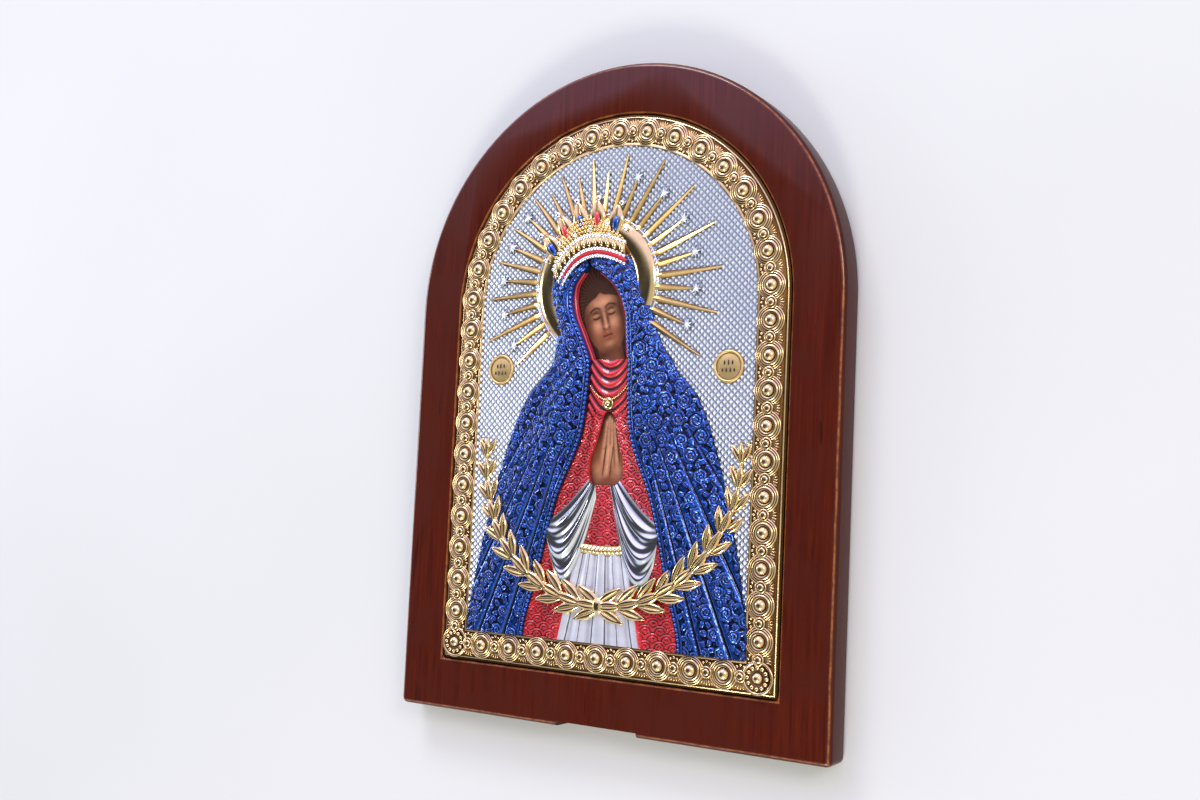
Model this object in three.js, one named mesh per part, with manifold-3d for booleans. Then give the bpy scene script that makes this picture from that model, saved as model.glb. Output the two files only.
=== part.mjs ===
// Arched devotional panel: a stained hardwood board, a painted picture set into a shallow pocket in its
// front, and an embossed metal cover over the picture with openings for the face and the hands.
import * as THREE from "three";
import { mergeVertices } from "three/addons/utils/BufferGeometryUtils.js";
import Module from "manifold-3d";

const wasm = await Module();
wasm.setup();

// Driving sizes in millimetres. The panel is drawn lying on its back: x across, y up the panel, z out of its
// face, with z = 0 on the floor of the pocket. It is moved to rest on its back at the end.
const PANEL_WIDTH = 200;
const SPRING_HEIGHT = 172;
const BOARD_THICKNESS = 14;
const POCKET_DEPTH = 3.4;
const EDGE_ROUND = 2.2;
const BOARD_CORNER = 1.6;
const WINDOW_MARGIN = 21.25;
const WINDOW_ROUND = 0.8;
const WINDOW_CORNER = 1.5;
const NOTCH_WIDTH = 38;
const NOTCH_HEIGHT = 2;
const FIT = 0.3;

// Metal cover: outer rim, gilt border moulding and the flat ground inside it.
const PLATE_MARGIN = 22.6;
const RIM_TOP = 2.6;
const GROUND = 4.2;
const SHEET = 0.9;
const BORDER_WIDTH = 12.9;
const BORDER_RISE = 1.3;
const RECESS_MARGIN = 37;

// Bosses along the middle of the border.
const BOSS_RADIUS = 5.4;
const BOSS_RING = 3.4;
const BOSS_EDGE = 4.9;
const BOSS_MIDDLE = 5.3;
const BOSS_TOP = 6.4;
const SIDE_STEPS = 38;
const BOTTOM_STEPS = 10;
const CORNER_SCALE = 1.15;

// Figure: the head leans by HEAD_TILT about the base of the neck.
const NECK = new THREE.Vector2(1, 148);
const HEAD_TILT = THREE.MathUtils.degToRad(16);
const HALO_CENTRE = new THREE.Vector2(-8, 180);
const HALO_INNER = 18;
const HALO_OUTER = 29;
const HALO_RISE = 1.5;
const HALO_EDGE = 0.6;
const HALO_FLAT = 2.4;
const RAY_COUNT = 40;
const RAY_ROOT = 30;
const RAY_LONG = 58;
const RAY_SHORT = 47;
const RAY_HALF_WIDTH = 1.5;
const RAY_TIP = 0.25;
const RAY_FLAT = 0.7;
const RAY_LOWEST = -0.72;
const RAY_MARGIN = 4;
const MANTLE_FOOT = 35;
const MANTLE_TOP = 196;
const HEM = 0.9;
const HEM_SHARE = 0.28;
const BORDER_LAP = 1.5;
const FOLD_RISE = 0.5;
const FOLD_RATE = 15;
const FOLD_ORIGIN = 176;
const FOLD_START = 50;
const FACE_TOP = 186;
const NECKLINE = 149;
const LIP = 0.4;
const DRESS_LAP = 0.8;
const DRESS_FOLD = 0.35;
const SKIRT_RISE = 1.6;
const SKIRT = { foot: 19, top: 11, height: 38, fold: 0.4 };
const SLEEVE = {
  elbow: [27, 83], wrist: [3.5, 105], cuff: [25, 70], cuffRise: 23, sag: 16, rise: 1.9, fold: 0.4,
};
const CROWN = {
  band: { up: 37, half: 17, flare: 1.5, height: 8.5, arch: 8, depth: 4.4 },
  cap: { up: 41, half: 18, bulge: 21, arch: 7, shoulder: 15, height: 22, depth: 3.2 },
  leaf: {
    side: 2, up: 55, step: 8, drop: 1.6, half: 3.1, length: 9, shrink: 1.1, depth: 2.2, fan: 0.2, lift: 3,
  },
  pearl: { radius: 1.6, gap: 0.6, spread: 1.8 },
};
const HANDS = {
  middle: 1, foot: 98, palm: 106, wrist: 5.6, half: 8.4, knuckle: 112, bend: 6.2, tip: 127, end: 1.2,
};

// Laurel branches that curve up from the lower edge on both sides.
const WREATH_CENTRE = 110;
const WREATH_RADIUS = 60;
const WREATH_SWEEP = THREE.MathUtils.degToRad(96);
const WREATH_STEPS = 9;
const LEAF_LENGTH = 12.5;
const LEAF_WIDTH = 3.2;
const LEAF_RISE = 1.4;
const LEAF_SPREAD = 0.5;
const LEAF_ROW = 4.1;
const LEAF_TAPER = 0.5;
const WREATH_START = 0.6;
const TIE_RADIUS = 4;
const TIE_FLAT = 0.6;

// Round medallions beside the shoulders.
const MEDAL_X = 54;
const MEDAL_Y = 145.5;
const MEDAL_RADIUS = 6.5;
const MEDAL_RIM = 0.6;
const MEDAL_FACE = 1.0;
const MEDAL_TOP = 1.4;

const FACETS = { arch: 32, corner: 2, boss: 8, halo: 32, round: 3 };
const FRONT = POCKET_DEPTH;
const BACK = POCKET_DEPTH - BOARD_THICKNESS;
const HALF_WIDTH = PANEL_WIDTH / 2;
const FIELD_HALF = HALF_WIDTH - PLATE_MARGIN - BORDER_WIDTH;

// A geometry as a closed solid ready to be joined or cut.
function solid(geometry) {
  const plain = geometry.clone();
  plain.deleteAttribute("normal");
  plain.deleteAttribute("uv");
  const welded = mergeVertices(plain, 1e-4);
  const vertProperties = new Float32Array(welded.attributes.position.array);
  const triVerts = new Uint32Array(welded.index.array);
  return new wasm.Manifold(new wasm.Mesh({ numProp: 3, vertProperties, triVerts }));
}

function meshFrom(name, body, material) {
  const data = body.getMesh();
  const geometry = new THREE.BufferGeometry();
  geometry.setAttribute("position", new THREE.BufferAttribute(data.vertProperties, 3));
  geometry.setIndex(new THREE.BufferAttribute(data.triVerts, 1));
  const mesh = new THREE.Mesh(geometry, material);
  mesh.name = name;
  return mesh;
}

// The arch shape set in from the edge of the board: straight foot, straight sides and half round top.
function archOutline(inset, corner) {
  const points = [];
  const half = HALF_WIDTH - inset;
  const radius = Math.max(corner, 0.05);
  const arc = (cx, cy, r, from, to, steps) => {
    for (let k = 0; k <= steps; k += 1) {
      const angle = from + ((to - from) * k) / steps;
      points.push(new THREE.Vector2(cx + r * Math.cos(angle), cy + r * Math.sin(angle)));
    }
  };
  const quarter = Math.PI / 2;
  arc(-half + radius, inset + radius, radius, 2 * quarter, 3 * quarter, FACETS.corner);
  arc(half - radius, inset + radius, radius, -quarter, 0, FACETS.corner);
  arc(0, SPRING_HEIGHT, half, 0, Math.PI, FACETS.arch);
  return points;
}

// A solid whose walls run through a stack of outlines with the same number of points.
function loft(rings) {
  const count = rings[0].outline.length;
  const positions = [];
  const index = [];
  rings.forEach((ring) => ring.outline.forEach((p) => positions.push(p.x, p.y, ring.z)));
  for (let level = 0; level + 1 < rings.length; level += 1) {
    for (let k = 0; k < count; k += 1) {
      const a = level * count + k;
      const b = level * count + ((k + 1) % count);
      index.push(a, b, b + count, a, b + count, a + count);
    }
  }
  const top = (rings.length - 1) * count;
  THREE.ShapeUtils.triangulateShape(rings[0].outline, []).forEach(([a, b, c]) => index.push(a, c, b));
  THREE.ShapeUtils.triangulateShape(rings.at(-1).outline, []).forEach(([a, b, c]) => {
    index.push(top + a, top + b, top + c);
  });
  const geometry = new THREE.BufferGeometry();
  geometry.setAttribute("position", new THREE.Float32BufferAttribute(positions, 3));
  geometry.setIndex(index);
  return solid(geometry);
}

// A relief between two edge curves. Each curve returns a point for t from 0 to 1, and height(s, t) is the
// rise at the share s of the way from the first edge to the second. The back lies inside the sheet.
function relief(first, second, rows, columns, height) {
  const positions = [];
  const index = [];
  const width = columns + 1;
  const size = (rows + 1) * width;
  const floor = GROUND - SHEET / 2;
  [true, false].forEach((front) => {
    for (let r = 0; r <= rows; r += 1) {
      for (let c = 0; c <= columns; c += 1) {
        const t = r / rows;
        const s = c / columns;
        const point = first(t).lerp(second(t), s);
        positions.push(point.x, point.y, front ? GROUND + height(s, t, point) : floor);
      }
    }
  });
  const quad = (a, b, c, d) => index.push(a, b, c, a, c, d);
  for (let r = 0; r < rows; r += 1) {
    for (let c = 0; c < columns; c += 1) {
      const a = r * width + c;
      quad(a, a + 1, a + 1 + width, a + width);
      quad(size + a, size + a + width, size + a + 1 + width, size + a + 1);
    }
  }
  for (let c = 0; c < columns; c += 1) {
    const last = rows * width + c;
    quad(c, size + c, size + c + 1, c + 1);
    quad(last, last + 1, size + last + 1, size + last);
  }
  for (let r = 0; r < rows; r += 1) {
    const a = r * width;
    const b = a + columns;
    quad(a, a + width, size + a + width, size + a);
    quad(b, size + b, size + b + width, b + width);
  }
  const geometry = new THREE.BufferGeometry();
  geometry.setAttribute("position", new THREE.Float32BufferAttribute(positions, 3));
  geometry.setIndex(index);
  const body = solid(geometry);
  if (body.volume() > 0) {
    return body;
  }
  geometry.setIndex(index.map((_, k) => index[k - (k % 3) + [0, 2, 1][k % 3]]));
  return solid(geometry);
}

// A smooth curve through [position, value] knots, level at both ends.
function through(knots) {
  const last = knots.length - 1;
  const slope = (k) => {
    if (k === 0 || k === last) {
      return 0;
    }
    return (knots[k + 1][1] - knots[k - 1][1]) / (knots[k + 1][0] - knots[k - 1][0]);
  };
  return (x) => {
    const u = THREE.MathUtils.clamp(x, knots[0][0], knots[last][0]);
    const k = Math.min(knots.findLastIndex((knot) => knot[0] <= u), last - 1);
    const span = knots[k + 1][0] - knots[k][0];
    const t = (u - knots[k][0]) / span;
    const rise = knots[k + 1][1] - knots[k][1];
    const ease = t * t * (3 - 2 * t);
    const lead = t * (1 - t) * (1 - t) * span * slope(k);
    const tail = t * t * (t - 1) * span * slope(k + 1);
    return knots[k][1] + rise * ease + lead + tail;
  };
}

// Board: rounded edges front and back, a pocket with a softened lip, and a notch across the foot.
function woodBoard() {
  const rings = [];
  for (let k = 0; k <= FACETS.round; k += 1) {
    const angle = (k / FACETS.round) * (Math.PI / 2);
    const inset = EDGE_ROUND * (1 - Math.sin(angle));
    rings.push({ outline: archOutline(inset, BOARD_CORNER), z: BACK + EDGE_ROUND * (1 - Math.cos(angle)) });
  }
  for (let k = 0; k <= FACETS.round; k += 1) {
    const angle = (k / FACETS.round) * (Math.PI / 2);
    const inset = EDGE_ROUND * (1 - Math.cos(angle));
    rings.push({ outline: archOutline(inset, BOARD_CORNER), z: FRONT - EDGE_ROUND * (1 - Math.sin(angle)) });
  }
  const pocket = [{ outline: archOutline(WINDOW_MARGIN, WINDOW_CORNER), z: 0 }];
  for (let k = 0; k <= FACETS.round; k += 1) {
    const angle = (k / FACETS.round) * (Math.PI / 2);
    const flare = WINDOW_ROUND * (1 - Math.cos(angle));
    const z = FRONT - WINDOW_ROUND * (1 - Math.sin(angle));
    pocket.push({ outline: archOutline(WINDOW_MARGIN - flare, WINDOW_CORNER), z });
  }
  pocket.push({ outline: archOutline(WINDOW_MARGIN - WINDOW_ROUND, WINDOW_CORNER), z: FRONT + 1 });
  const notch = new THREE.BoxGeometry(NOTCH_WIDTH, 2 * NOTCH_HEIGHT, 4 * BOARD_THICKNESS);
  return loft(rings).subtract(loft(pocket)).subtract(solid(notch));
}

function paintedPanel() {
  const outline = archOutline(RECESS_MARGIN + FIT, WINDOW_CORNER);
  return loft([{ outline, z: FIT }, { outline, z: GROUND - SHEET - FIT }]);
}

// Border: the sheet rises from its rim over a rounded moulding to the ground.
function plateSheet() {
  const steps = 4;
  const outline = archOutline(PLATE_MARGIN, WINDOW_CORNER);
  const rings = [{ outline, z: FIT }];
  for (let k = 0; k <= steps; k += 1) {
    const share = k / steps;
    const z = THREE.MathUtils.lerp(RIM_TOP, GROUND, share) + BORDER_RISE * Math.sin(Math.PI * share);
    rings.push({ outline: archOutline(PLATE_MARGIN + BORDER_WIDTH * share, WINDOW_CORNER), z });
  }
  const recess = archOutline(RECESS_MARGIN, WINDOW_CORNER);
  return loft(rings).subtract(loft([{ outline: recess, z: 0 }, { outline: recess, z: GROUND - SHEET }]));
}

// A turned shape from [radius, height] pairs, standing on the sheet at a point.
function turned(profile, facets, at, scale = 1) {
  const floor = GROUND - SHEET;
  const points = [new THREE.Vector2(0, floor), new THREE.Vector2(profile[0][0] * scale, floor)];
  profile.forEach(([radius, z]) => points.push(new THREE.Vector2(radius * scale, z)));
  const geometry = new THREE.LatheGeometry(points, facets);
  geometry.rotateX(Math.PI / 2);
  geometry.translate(at.x, at.y, 0);
  return solid(geometry);
}

// Bosses on the middle line of the border, evenly spaced up the sides and over the arch.
function borderBosses() {
  const boss = [[BOSS_RADIUS, BOSS_EDGE], [BOSS_RING, BOSS_MIDDLE], [0, BOSS_TOP]];
  const middle = PLATE_MARGIN + BORDER_WIDTH / 2;
  const half = HALF_WIDTH - middle;
  const side = SPRING_HEIGHT - middle;
  const length = 2 * side + Math.PI * half;
  const along = (distance) => {
    if (distance < side) {
      return new THREE.Vector2(half, middle + distance);
    }
    if (distance > length - side) {
      return new THREE.Vector2(-half, middle + length - distance);
    }
    const angle = (distance - side) / half;
    return new THREE.Vector2(half * Math.cos(angle), SPRING_HEIGHT + half * Math.sin(angle));
  };
  const solids = [];
  for (let k = 0; k <= SIDE_STEPS; k += 1) {
    const corner = k === 0 || k === SIDE_STEPS;
    solids.push(turned(boss, FACETS.boss, along((length * k) / SIDE_STEPS), corner ? CORNER_SCALE : 1));
  }
  for (let k = 1; k < BOTTOM_STEPS; k += 1) {
    const x = half * ((2 * k) / BOTTOM_STEPS - 1);
    solids.push(turned(boss, FACETS.boss, new THREE.Vector2(x, middle)));
  }
  return solids;
}

// Rays: slim tapered bars set edge up, long and short by turns, kept clear of the border.
function rays() {
  const solids = [];
  const reach = FIELD_HALF - RAY_MARGIN;
  for (let k = 0; k < RAY_COUNT; k += 1) {
    const angle = (2 * Math.PI * k) / RAY_COUNT;
    const direction = new THREE.Vector2(Math.cos(angle), Math.sin(angle));
    const offset = HALO_CENTRE.clone().sub(new THREE.Vector2(0, SPRING_HEIGHT));
    const across = offset.dot(direction);
    const edge = -across + Math.sqrt(across * across - offset.lengthSq() + reach * reach);
    const tip = Math.min(k % 2 ? RAY_SHORT : RAY_LONG, edge);
    if (direction.y > RAY_LOWEST) {
      const bar = new THREE.CylinderGeometry(RAY_TIP, RAY_HALF_WIDTH, tip - RAY_ROOT, 4);
      bar.scale(1, 1, RAY_FLAT);
      bar.translate(0, (tip + RAY_ROOT) / 2, GROUND);
      bar.rotateZ(angle - Math.PI / 2);
      bar.translate(HALO_CENTRE.x, HALO_CENTRE.y, 0);
      solids.push(solid(bar));
    }
  }
  return solids;
}

// Halo: a rounded ring behind the head.
function halo() {
  const middle = (HALO_INNER + HALO_OUTER) / 2;
  const floor = GROUND - SHEET / 2;
  const profile = [
    [HALO_INNER, floor], [HALO_OUTER, floor], [HALO_OUTER, GROUND + HALO_EDGE],
    [middle + HALO_FLAT, GROUND + HALO_RISE], [middle - HALO_FLAT, GROUND + HALO_RISE],
    [HALO_INNER, GROUND + HALO_EDGE], [HALO_INNER, floor],
  ];
  const geometry = new THREE.LatheGeometry(profile.map(([r, z]) => new THREE.Vector2(r, z)), FACETS.halo);
  geometry.rotateX(Math.PI / 2);
  geometry.translate(HALO_CENTRE.x, HALO_CENTRE.y, 0);
  return solid(geometry);
}

// Figure outlines, as half widths at a height on the panel measured from the leaning centre line.
const centreLine = (y) => NECK.x - Math.tan(HEAD_TILT) * Math.max(0, y - NECK.y);
const mantleHalf = through([
  [35, 66], [60, 62.5], [90, 56], [118, 47.5], [134, 40], [146, 29.5], [158, 24.5], [174, 23.5],
  [188, 20.5], [196, 16],
]);
const openingHalf = through([
  [35, 36], [60, 30], [92, 22], [116, 12], [132, 9.5], [149, 9], [158, 10.5], [169, 12.3],
  [179, 10], [185, 4.5], [188, 0.6],
]);
const mantleRise = through([[35, 1.4], [90, 2.2], [130, 2.4], [150, 2.0], [175, 1.9], [196, 1.5]]);

// Mantle and veil: crest near the inner hem, falling to the outline, with folds that fan out from the neck.
const mantleEdge = (y, side) => Math.min(mantleHalf(y), FIELD_HALF + BORDER_LAP - side * centreLine(y));

function mantleHeight(s, x, y) {
  const crest = Math.sin(Math.PI * THREE.MathUtils.lerp(HEM_SHARE, 1, s));
  const fan = Math.atan2(x - NECK.x, FOLD_ORIGIN - y);
  const settle = THREE.MathUtils.clamp((FOLD_ORIGIN - y) / FOLD_START, 0, 1);
  const folds = FOLD_RISE * Math.cos(FOLD_RATE * fan) * settle * Math.sin(Math.PI * s);
  return HEM + mantleRise(y) * crest + folds;
}

function mantleHalfSolid(side) {
  const at = (half) => (t) => {
    const y = MANTLE_FOOT + (MANTLE_TOP - MANTLE_FOOT) * t;
    return new THREE.Vector2(centreLine(y) + side * half(y, side), y);
  };
  return relief(at(openingHalf), at(mantleEdge), 23, 7, (s, t, p) => mantleHeight(s, p.x, p.y));
}

// Rise of the dressed figure above the ground at a point of the panel.
function figureHeight(x, y) {
  const side = x < centreLine(y) ? -1 : 1;
  const away = Math.abs(x - centreLine(y));
  const inner = openingHalf(y);
  const outer = mantleEdge(y, side);
  if (away > outer) {
    return 0;
  }
  return away < inner ? SKIRT_RISE : mantleHeight((away - inner) / (outer - inner), x, y);
}

// Dress: fills the opening of the mantle below the neckline, with a few upright folds.
function dress() {
  const edge = (side) => (t) => {
    const y = THREE.MathUtils.lerp(MANTLE_FOOT, NECKLINE, t);
    return new THREE.Vector2(centreLine(y) + side * (openingHalf(y) + DRESS_LAP), y);
  };
  return relief(edge(-1), edge(1), 8, 8, (s) => HEM + DRESS_FOLD * Math.cos(8 * Math.PI * s));
}

// Sleeves: a forearm from the elbow to the wrist, its wide cuff hanging below in swags.
function sleeve(side) {
  const { elbow, wrist, cuff, cuffRise, sag, rise, fold } = SLEEVE;
  const upper = (t) => {
    const y = THREE.MathUtils.lerp(elbow[1], wrist[1], Math.pow(t, 1.4));
    return new THREE.Vector2(side * THREE.MathUtils.lerp(elbow[0], wrist[0], t) + NECK.x, y);
  };
  const lower = (t) => {
    const y = cuff[1] + cuffRise * t * t - sag * Math.sin(Math.PI * Math.min(1, t * 1.15));
    return new THREE.Vector2(side * THREE.MathUtils.lerp(cuff[0], wrist[0], t) + NECK.x, y);
  };
  return relief(upper, lower, 9, 6, (s, t) => {
    const body = Math.sin(Math.PI * (0.12 + 0.8 * s)) * (0.75 + 0.5 * Math.sin(Math.PI * t));
    return HEM + fold + rise * body + fold * Math.cos(6 * Math.PI * s);
  });
}

// Underskirt below the cuffs, in upright folds.
function underskirt() {
  const edge = (side) => (t) => {
    const half = THREE.MathUtils.lerp(SKIRT.foot, SKIRT.top, t);
    return new THREE.Vector2(NECK.x + side * half, MANTLE_FOOT + SKIRT.height * t);
  };
  return relief(edge(-1), edge(1), 4, 12, (s) => SKIRT_RISE + SKIRT.fold * Math.cos(8 * Math.PI * s));
}

// Crown on the leaning head: a curved band, a rounded cap behind it, and leaf points with a pearl on each.
function crown() {
  const { band, cap, leaf, pearl } = CROWN;
  const lean = (geometry, up, across = 0) => {
    geometry.translate(across, up, 0);
    geometry.rotateZ(HEAD_TILT);
    geometry.translate(NECK.x, NECK.y, GROUND - SHEET / 2);
    return solid(geometry);
  };
  const block = (shape, depth) => {
    return new THREE.ExtrudeGeometry(shape, { depth, bevelEnabled: false, curveSegments: 5 });
  };
  const bandShape = new THREE.Shape();
  const low = -band.height / 2;
  bandShape.moveTo(-band.half, low);
  bandShape.quadraticCurveTo(0, low + band.arch, band.half, low);
  bandShape.lineTo(band.half + band.flare, -low);
  bandShape.quadraticCurveTo(0, band.arch - low, -band.half - band.flare, -low);
  const capShape = new THREE.Shape();
  capShape.moveTo(-cap.half, 0);
  capShape.quadraticCurveTo(0, cap.arch, cap.half, 0);
  capShape.quadraticCurveTo(cap.bulge, cap.shoulder, 0, cap.height);
  capShape.quadraticCurveTo(-cap.bulge, cap.shoulder, -cap.half, 0);
  const solids = [lean(block(bandShape, band.depth), band.up), lean(block(capShape, cap.depth), cap.up)];
  for (let k = -leaf.side; k <= leaf.side; k += 1) {
    const length = leaf.length - leaf.shrink * Math.abs(k);
    const up = leaf.up - leaf.drop * k * k;
    const point = new THREE.OctahedronGeometry(1);
    point.scale(leaf.half, length, leaf.depth);
    point.rotateZ(-leaf.fan * k);
    point.translate(0, 0, leaf.lift);
    solids.push(lean(point, up, leaf.step * k));
    const bead = new THREE.SphereGeometry(pearl.radius, 6, 4);
    bead.translate(0, 0, leaf.lift);
    solids.push(lean(bead, up + length + pearl.gap, (leaf.step + pearl.spread) * k));
  }
  return solids;
}

// Laurel branches: a stem and leaves in threes that grow smaller towards the tips.
function wreath() {
  const solids = [];
  const spot = (angle, radius) => {
    return new THREE.Vector2(radius * Math.sin(angle), WREATH_CENTRE - radius * Math.cos(angle));
  };
  [-1, 1].forEach((side) => {
    for (let k = 0; k < WREATH_STEPS; k += 1) {
      const share = (k + WREATH_START) / WREATH_STEPS;
      const angle = side * WREATH_SWEEP * share;
      const size = 1 - LEAF_TAPER * share * share;
      [-1, 0, 1].forEach((row) => {
        const at = spot(angle, WREATH_RADIUS + row * LEAF_ROW * size);
        const seat = GROUND + figureHeight(at.x, at.y);
        const edge = [[0, GROUND - SHEET / 2], [1, GROUND - SHEET / 2], [1, seat], [0, seat + LEAF_RISE]];
        const leaf = new THREE.LatheGeometry(edge.map(([r, z]) => new THREE.Vector2(r, z)), 4);
        leaf.rotateX(Math.PI / 2);
        leaf.scale((LEAF_LENGTH / 2) * size, LEAF_WIDTH * size, 1);
        leaf.rotateZ(angle - side * row * LEAF_SPREAD);
        leaf.translate(at.x, at.y, 0);
        solids.push(solid(leaf));
      });
    }
  });
  const tie = new THREE.SphereGeometry(TIE_RADIUS, 10, 6);
  tie.scale(1.2, 1, TIE_FLAT);
  tie.translate(0, WREATH_CENTRE - WREATH_RADIUS, GROUND + SKIRT_RISE);
  solids.push(solid(tie));
  return solids;
}

function medallion(side) {
  const profile = [
    [MEDAL_RADIUS, GROUND + MEDAL_FACE], [MEDAL_RADIUS - MEDAL_RIM, GROUND + MEDAL_TOP],
    [MEDAL_RADIUS - 2 * MEDAL_RIM, GROUND + MEDAL_FACE], [0, GROUND + MEDAL_FACE],
  ];
  return turned(profile, 16, new THREE.Vector2(side * MEDAL_X, MEDAL_Y));
}

// Openings through the cover: the face with the neck, and two hands joined palm to palm.
function faceOpening() {
  const right = [];
  const steps = 12;
  for (let k = 0; k <= steps; k += 1) {
    const y = NECKLINE + 0.6 + (FACE_TOP - NECKLINE - 0.6) * (k / steps);
    right.push([y, Math.max(openingHalf(y) - LIP, 0.5)]);
  }
  const outline = right.map(([y, half]) => new THREE.Vector2(centreLine(y) + half, y));
  right.reverse().forEach(([y, half]) => outline.push(new THREE.Vector2(centreLine(y) - half, y)));
  return loft([{ outline, z: 0 }, { outline, z: 4 * GROUND }]);
}

function handsOpening() {
  const { middle, foot, palm, wrist, half, knuckle, bend, tip, end } = HANDS;
  const shape = new THREE.Shape();
  shape.moveTo(middle - wrist, foot);
  shape.quadraticCurveTo(middle - half, palm, middle - bend, knuckle);
  shape.quadraticCurveTo(middle - bend + 2, (knuckle + tip) / 2, middle - end, tip);
  shape.quadraticCurveTo(middle, tip + end, middle + end, tip);
  shape.quadraticCurveTo(middle + bend - 2, (knuckle + tip) / 2, middle + bend, knuckle);
  shape.quadraticCurveTo(middle + half, palm, middle + wrist, foot);
  const geometry = new THREE.ExtrudeGeometry(shape, {
    depth: 4 * GROUND, bevelEnabled: false, curveSegments: 3,
  });
  return solid(geometry);
}

function iconPlate() {
  const raised = [
    plateSheet(), ...borderBosses(), ...rays(), halo(), mantleHalfSolid(-1), mantleHalfSolid(1), dress(),
    underskirt(), sleeve(-1), sleeve(1), ...crown(), ...wreath(), medallion(-1), medallion(1),
  ];
  const recess = archOutline(RECESS_MARGIN, WINDOW_CORNER);
  const hollow = loft([{ outline: recess, z: -BOARD_THICKNESS }, { outline: recess, z: GROUND - SHEET }]);
  return wasm.Manifold.union(raised).subtract(hollow).subtract(faceOpening()).subtract(handsOpening());
}

const finish = (color, roughness, metalness) => {
  return new THREE.MeshStandardMaterial({ color, roughness, metalness });
};
const panel = new THREE.Group();
panel.name = "icon_panel";
panel.add(meshFrom("wood_board", woodBoard(), finish("#521a12", 0.38, 0)));
panel.add(meshFrom("painted_panel", paintedPanel(), finish("#5a2e1c", 0.5, 0)));
panel.add(meshFrom("icon_plate", iconPlate(), finish("#d4d6dc", 0.28, 1)));

// The panel rests on its back, with the middle of its outline at the origin.
panel.position.set(0, -(SPRING_HEIGHT + HALF_WIDTH) / 2, -BACK);
export default panel;
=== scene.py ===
# %% [markdown]
# # An arched icon panel
# The object is a hardwood board with a round top, a painted picture in a shallow pocket, and an embossed
# metal cover that leaves only the painted face and hands open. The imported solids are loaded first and
# stay where they are. Every piece made here is drawn over them in the same frame.

# %% Load the frame
import math
import bpy
import numpy as np
from mathutils import Matrix, Vector


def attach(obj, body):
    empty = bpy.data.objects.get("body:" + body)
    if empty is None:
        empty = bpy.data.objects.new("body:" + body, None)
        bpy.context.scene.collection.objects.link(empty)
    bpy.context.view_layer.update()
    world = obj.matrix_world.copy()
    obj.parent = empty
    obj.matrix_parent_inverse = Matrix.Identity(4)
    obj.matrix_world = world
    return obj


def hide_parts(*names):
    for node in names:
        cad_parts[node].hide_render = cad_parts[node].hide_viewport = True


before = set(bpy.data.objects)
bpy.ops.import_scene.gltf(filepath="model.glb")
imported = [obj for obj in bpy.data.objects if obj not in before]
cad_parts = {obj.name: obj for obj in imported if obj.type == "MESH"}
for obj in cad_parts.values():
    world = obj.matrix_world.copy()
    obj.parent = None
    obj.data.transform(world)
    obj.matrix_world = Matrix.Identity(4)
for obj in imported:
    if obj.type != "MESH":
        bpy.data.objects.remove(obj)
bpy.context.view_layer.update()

# %% [markdown]
# ## Sizes
# Each piece is drawn in millimetres with x across, y up the panel from its foot and z out of its face,
# counted from the floor of the pocket. `lay` then scales it to metres and moves it to where the panel
# rests on its back.

# %% Sizes of the panel, in millimetres
HALF_WIDTH = 100.0
SPRING_HEIGHT = 172.0
BOARD_THICKNESS = 14.0
POCKET_DEPTH = 3.4
EDGE_ROUND = 2.2
BOARD_CORNER = 2.4
WINDOW_MARGIN = 21.25
WINDOW_ROUND = 0.8
NOTCH_WIDTH = 38.0
NOTCH_HEIGHT = 2.0
PLATE_MARGIN = 22.6
BORDER_WIDTH = 12.9
GROUND = 4.2
FIT = 0.3
FIELD_HALF = HALF_WIDTH - PLATE_MARGIN - BORDER_WIDTH
MM = 0.001
BACK = POCKET_DEPTH - BOARD_THICKNESS
CENTRE_Y = (SPRING_HEIGHT + HALF_WIDTH) / 2
print("the pocket floor lies", -BACK, "mm above the ground")

# %% [markdown]
# ## Bench tools
# Blender's operators work on what is selected, so most steps begin by choosing an object, or the points
# of one by where they lie. These few functions keep that in one place and keep the cells below short.

# %% Bench tools
def clear_selection():
    if bpy.context.object and bpy.context.object.mode != "OBJECT":
        bpy.ops.object.mode_set(mode="OBJECT")
    bpy.ops.object.select_all(action="DESELECT")

def named(name):
    piece = bpy.context.object
    piece.name = name
    piece.data.name = name
    return piece

def edit(piece):
    clear_selection()
    bpy.context.view_layer.objects.active = piece
    piece.select_set(True)
    bpy.ops.object.mode_set(mode="EDIT")
    bpy.ops.mesh.select_all(action="SELECT")

def done(piece):
    bpy.ops.object.mode_set(mode="OBJECT")
    return piece

def apply_all(piece):
    clear_selection()
    bpy.context.view_layer.objects.active = piece
    piece.select_set(True)
    bpy.ops.object.transform_apply(location=True, rotation=True, scale=True)
    return piece

def lay(piece):
    piece.scale = (MM, MM, MM)
    piece.location = (0, -CENTRE_Y * MM, -BACK * MM)
    return apply_all(piece)

def points(piece):
    at = np.empty(3 * len(piece.data.vertices))
    piece.data.vertices.foreach_get("co", at)
    return at.reshape(-1, 3)

def set_points(piece, at):
    piece.data.vertices.foreach_set("co", np.asarray(at, dtype=np.float64).ravel())
    piece.data.update()

def select_only(piece, kind, chosen):
    """Opens the piece in edit mode with only the chosen vertices, edges or polygons selected."""
    bpy.ops.object.mode_set(mode="OBJECT")
    kinds = ("vertices", "edges", "polygons")
    for group in kinds:
        parts = getattr(piece.data, group)
        wanted = chosen if group == kind else np.zeros(len(parts))
        parts.foreach_set("select", np.array(wanted, bool))
    bpy.context.tool_settings.mesh_select_mode = tuple(group == kind for group in kinds)
    bpy.ops.object.mode_set(mode="EDIT")

def select_vertices(piece, test):
    select_only(piece, "vertices", test(points(piece)))

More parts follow.
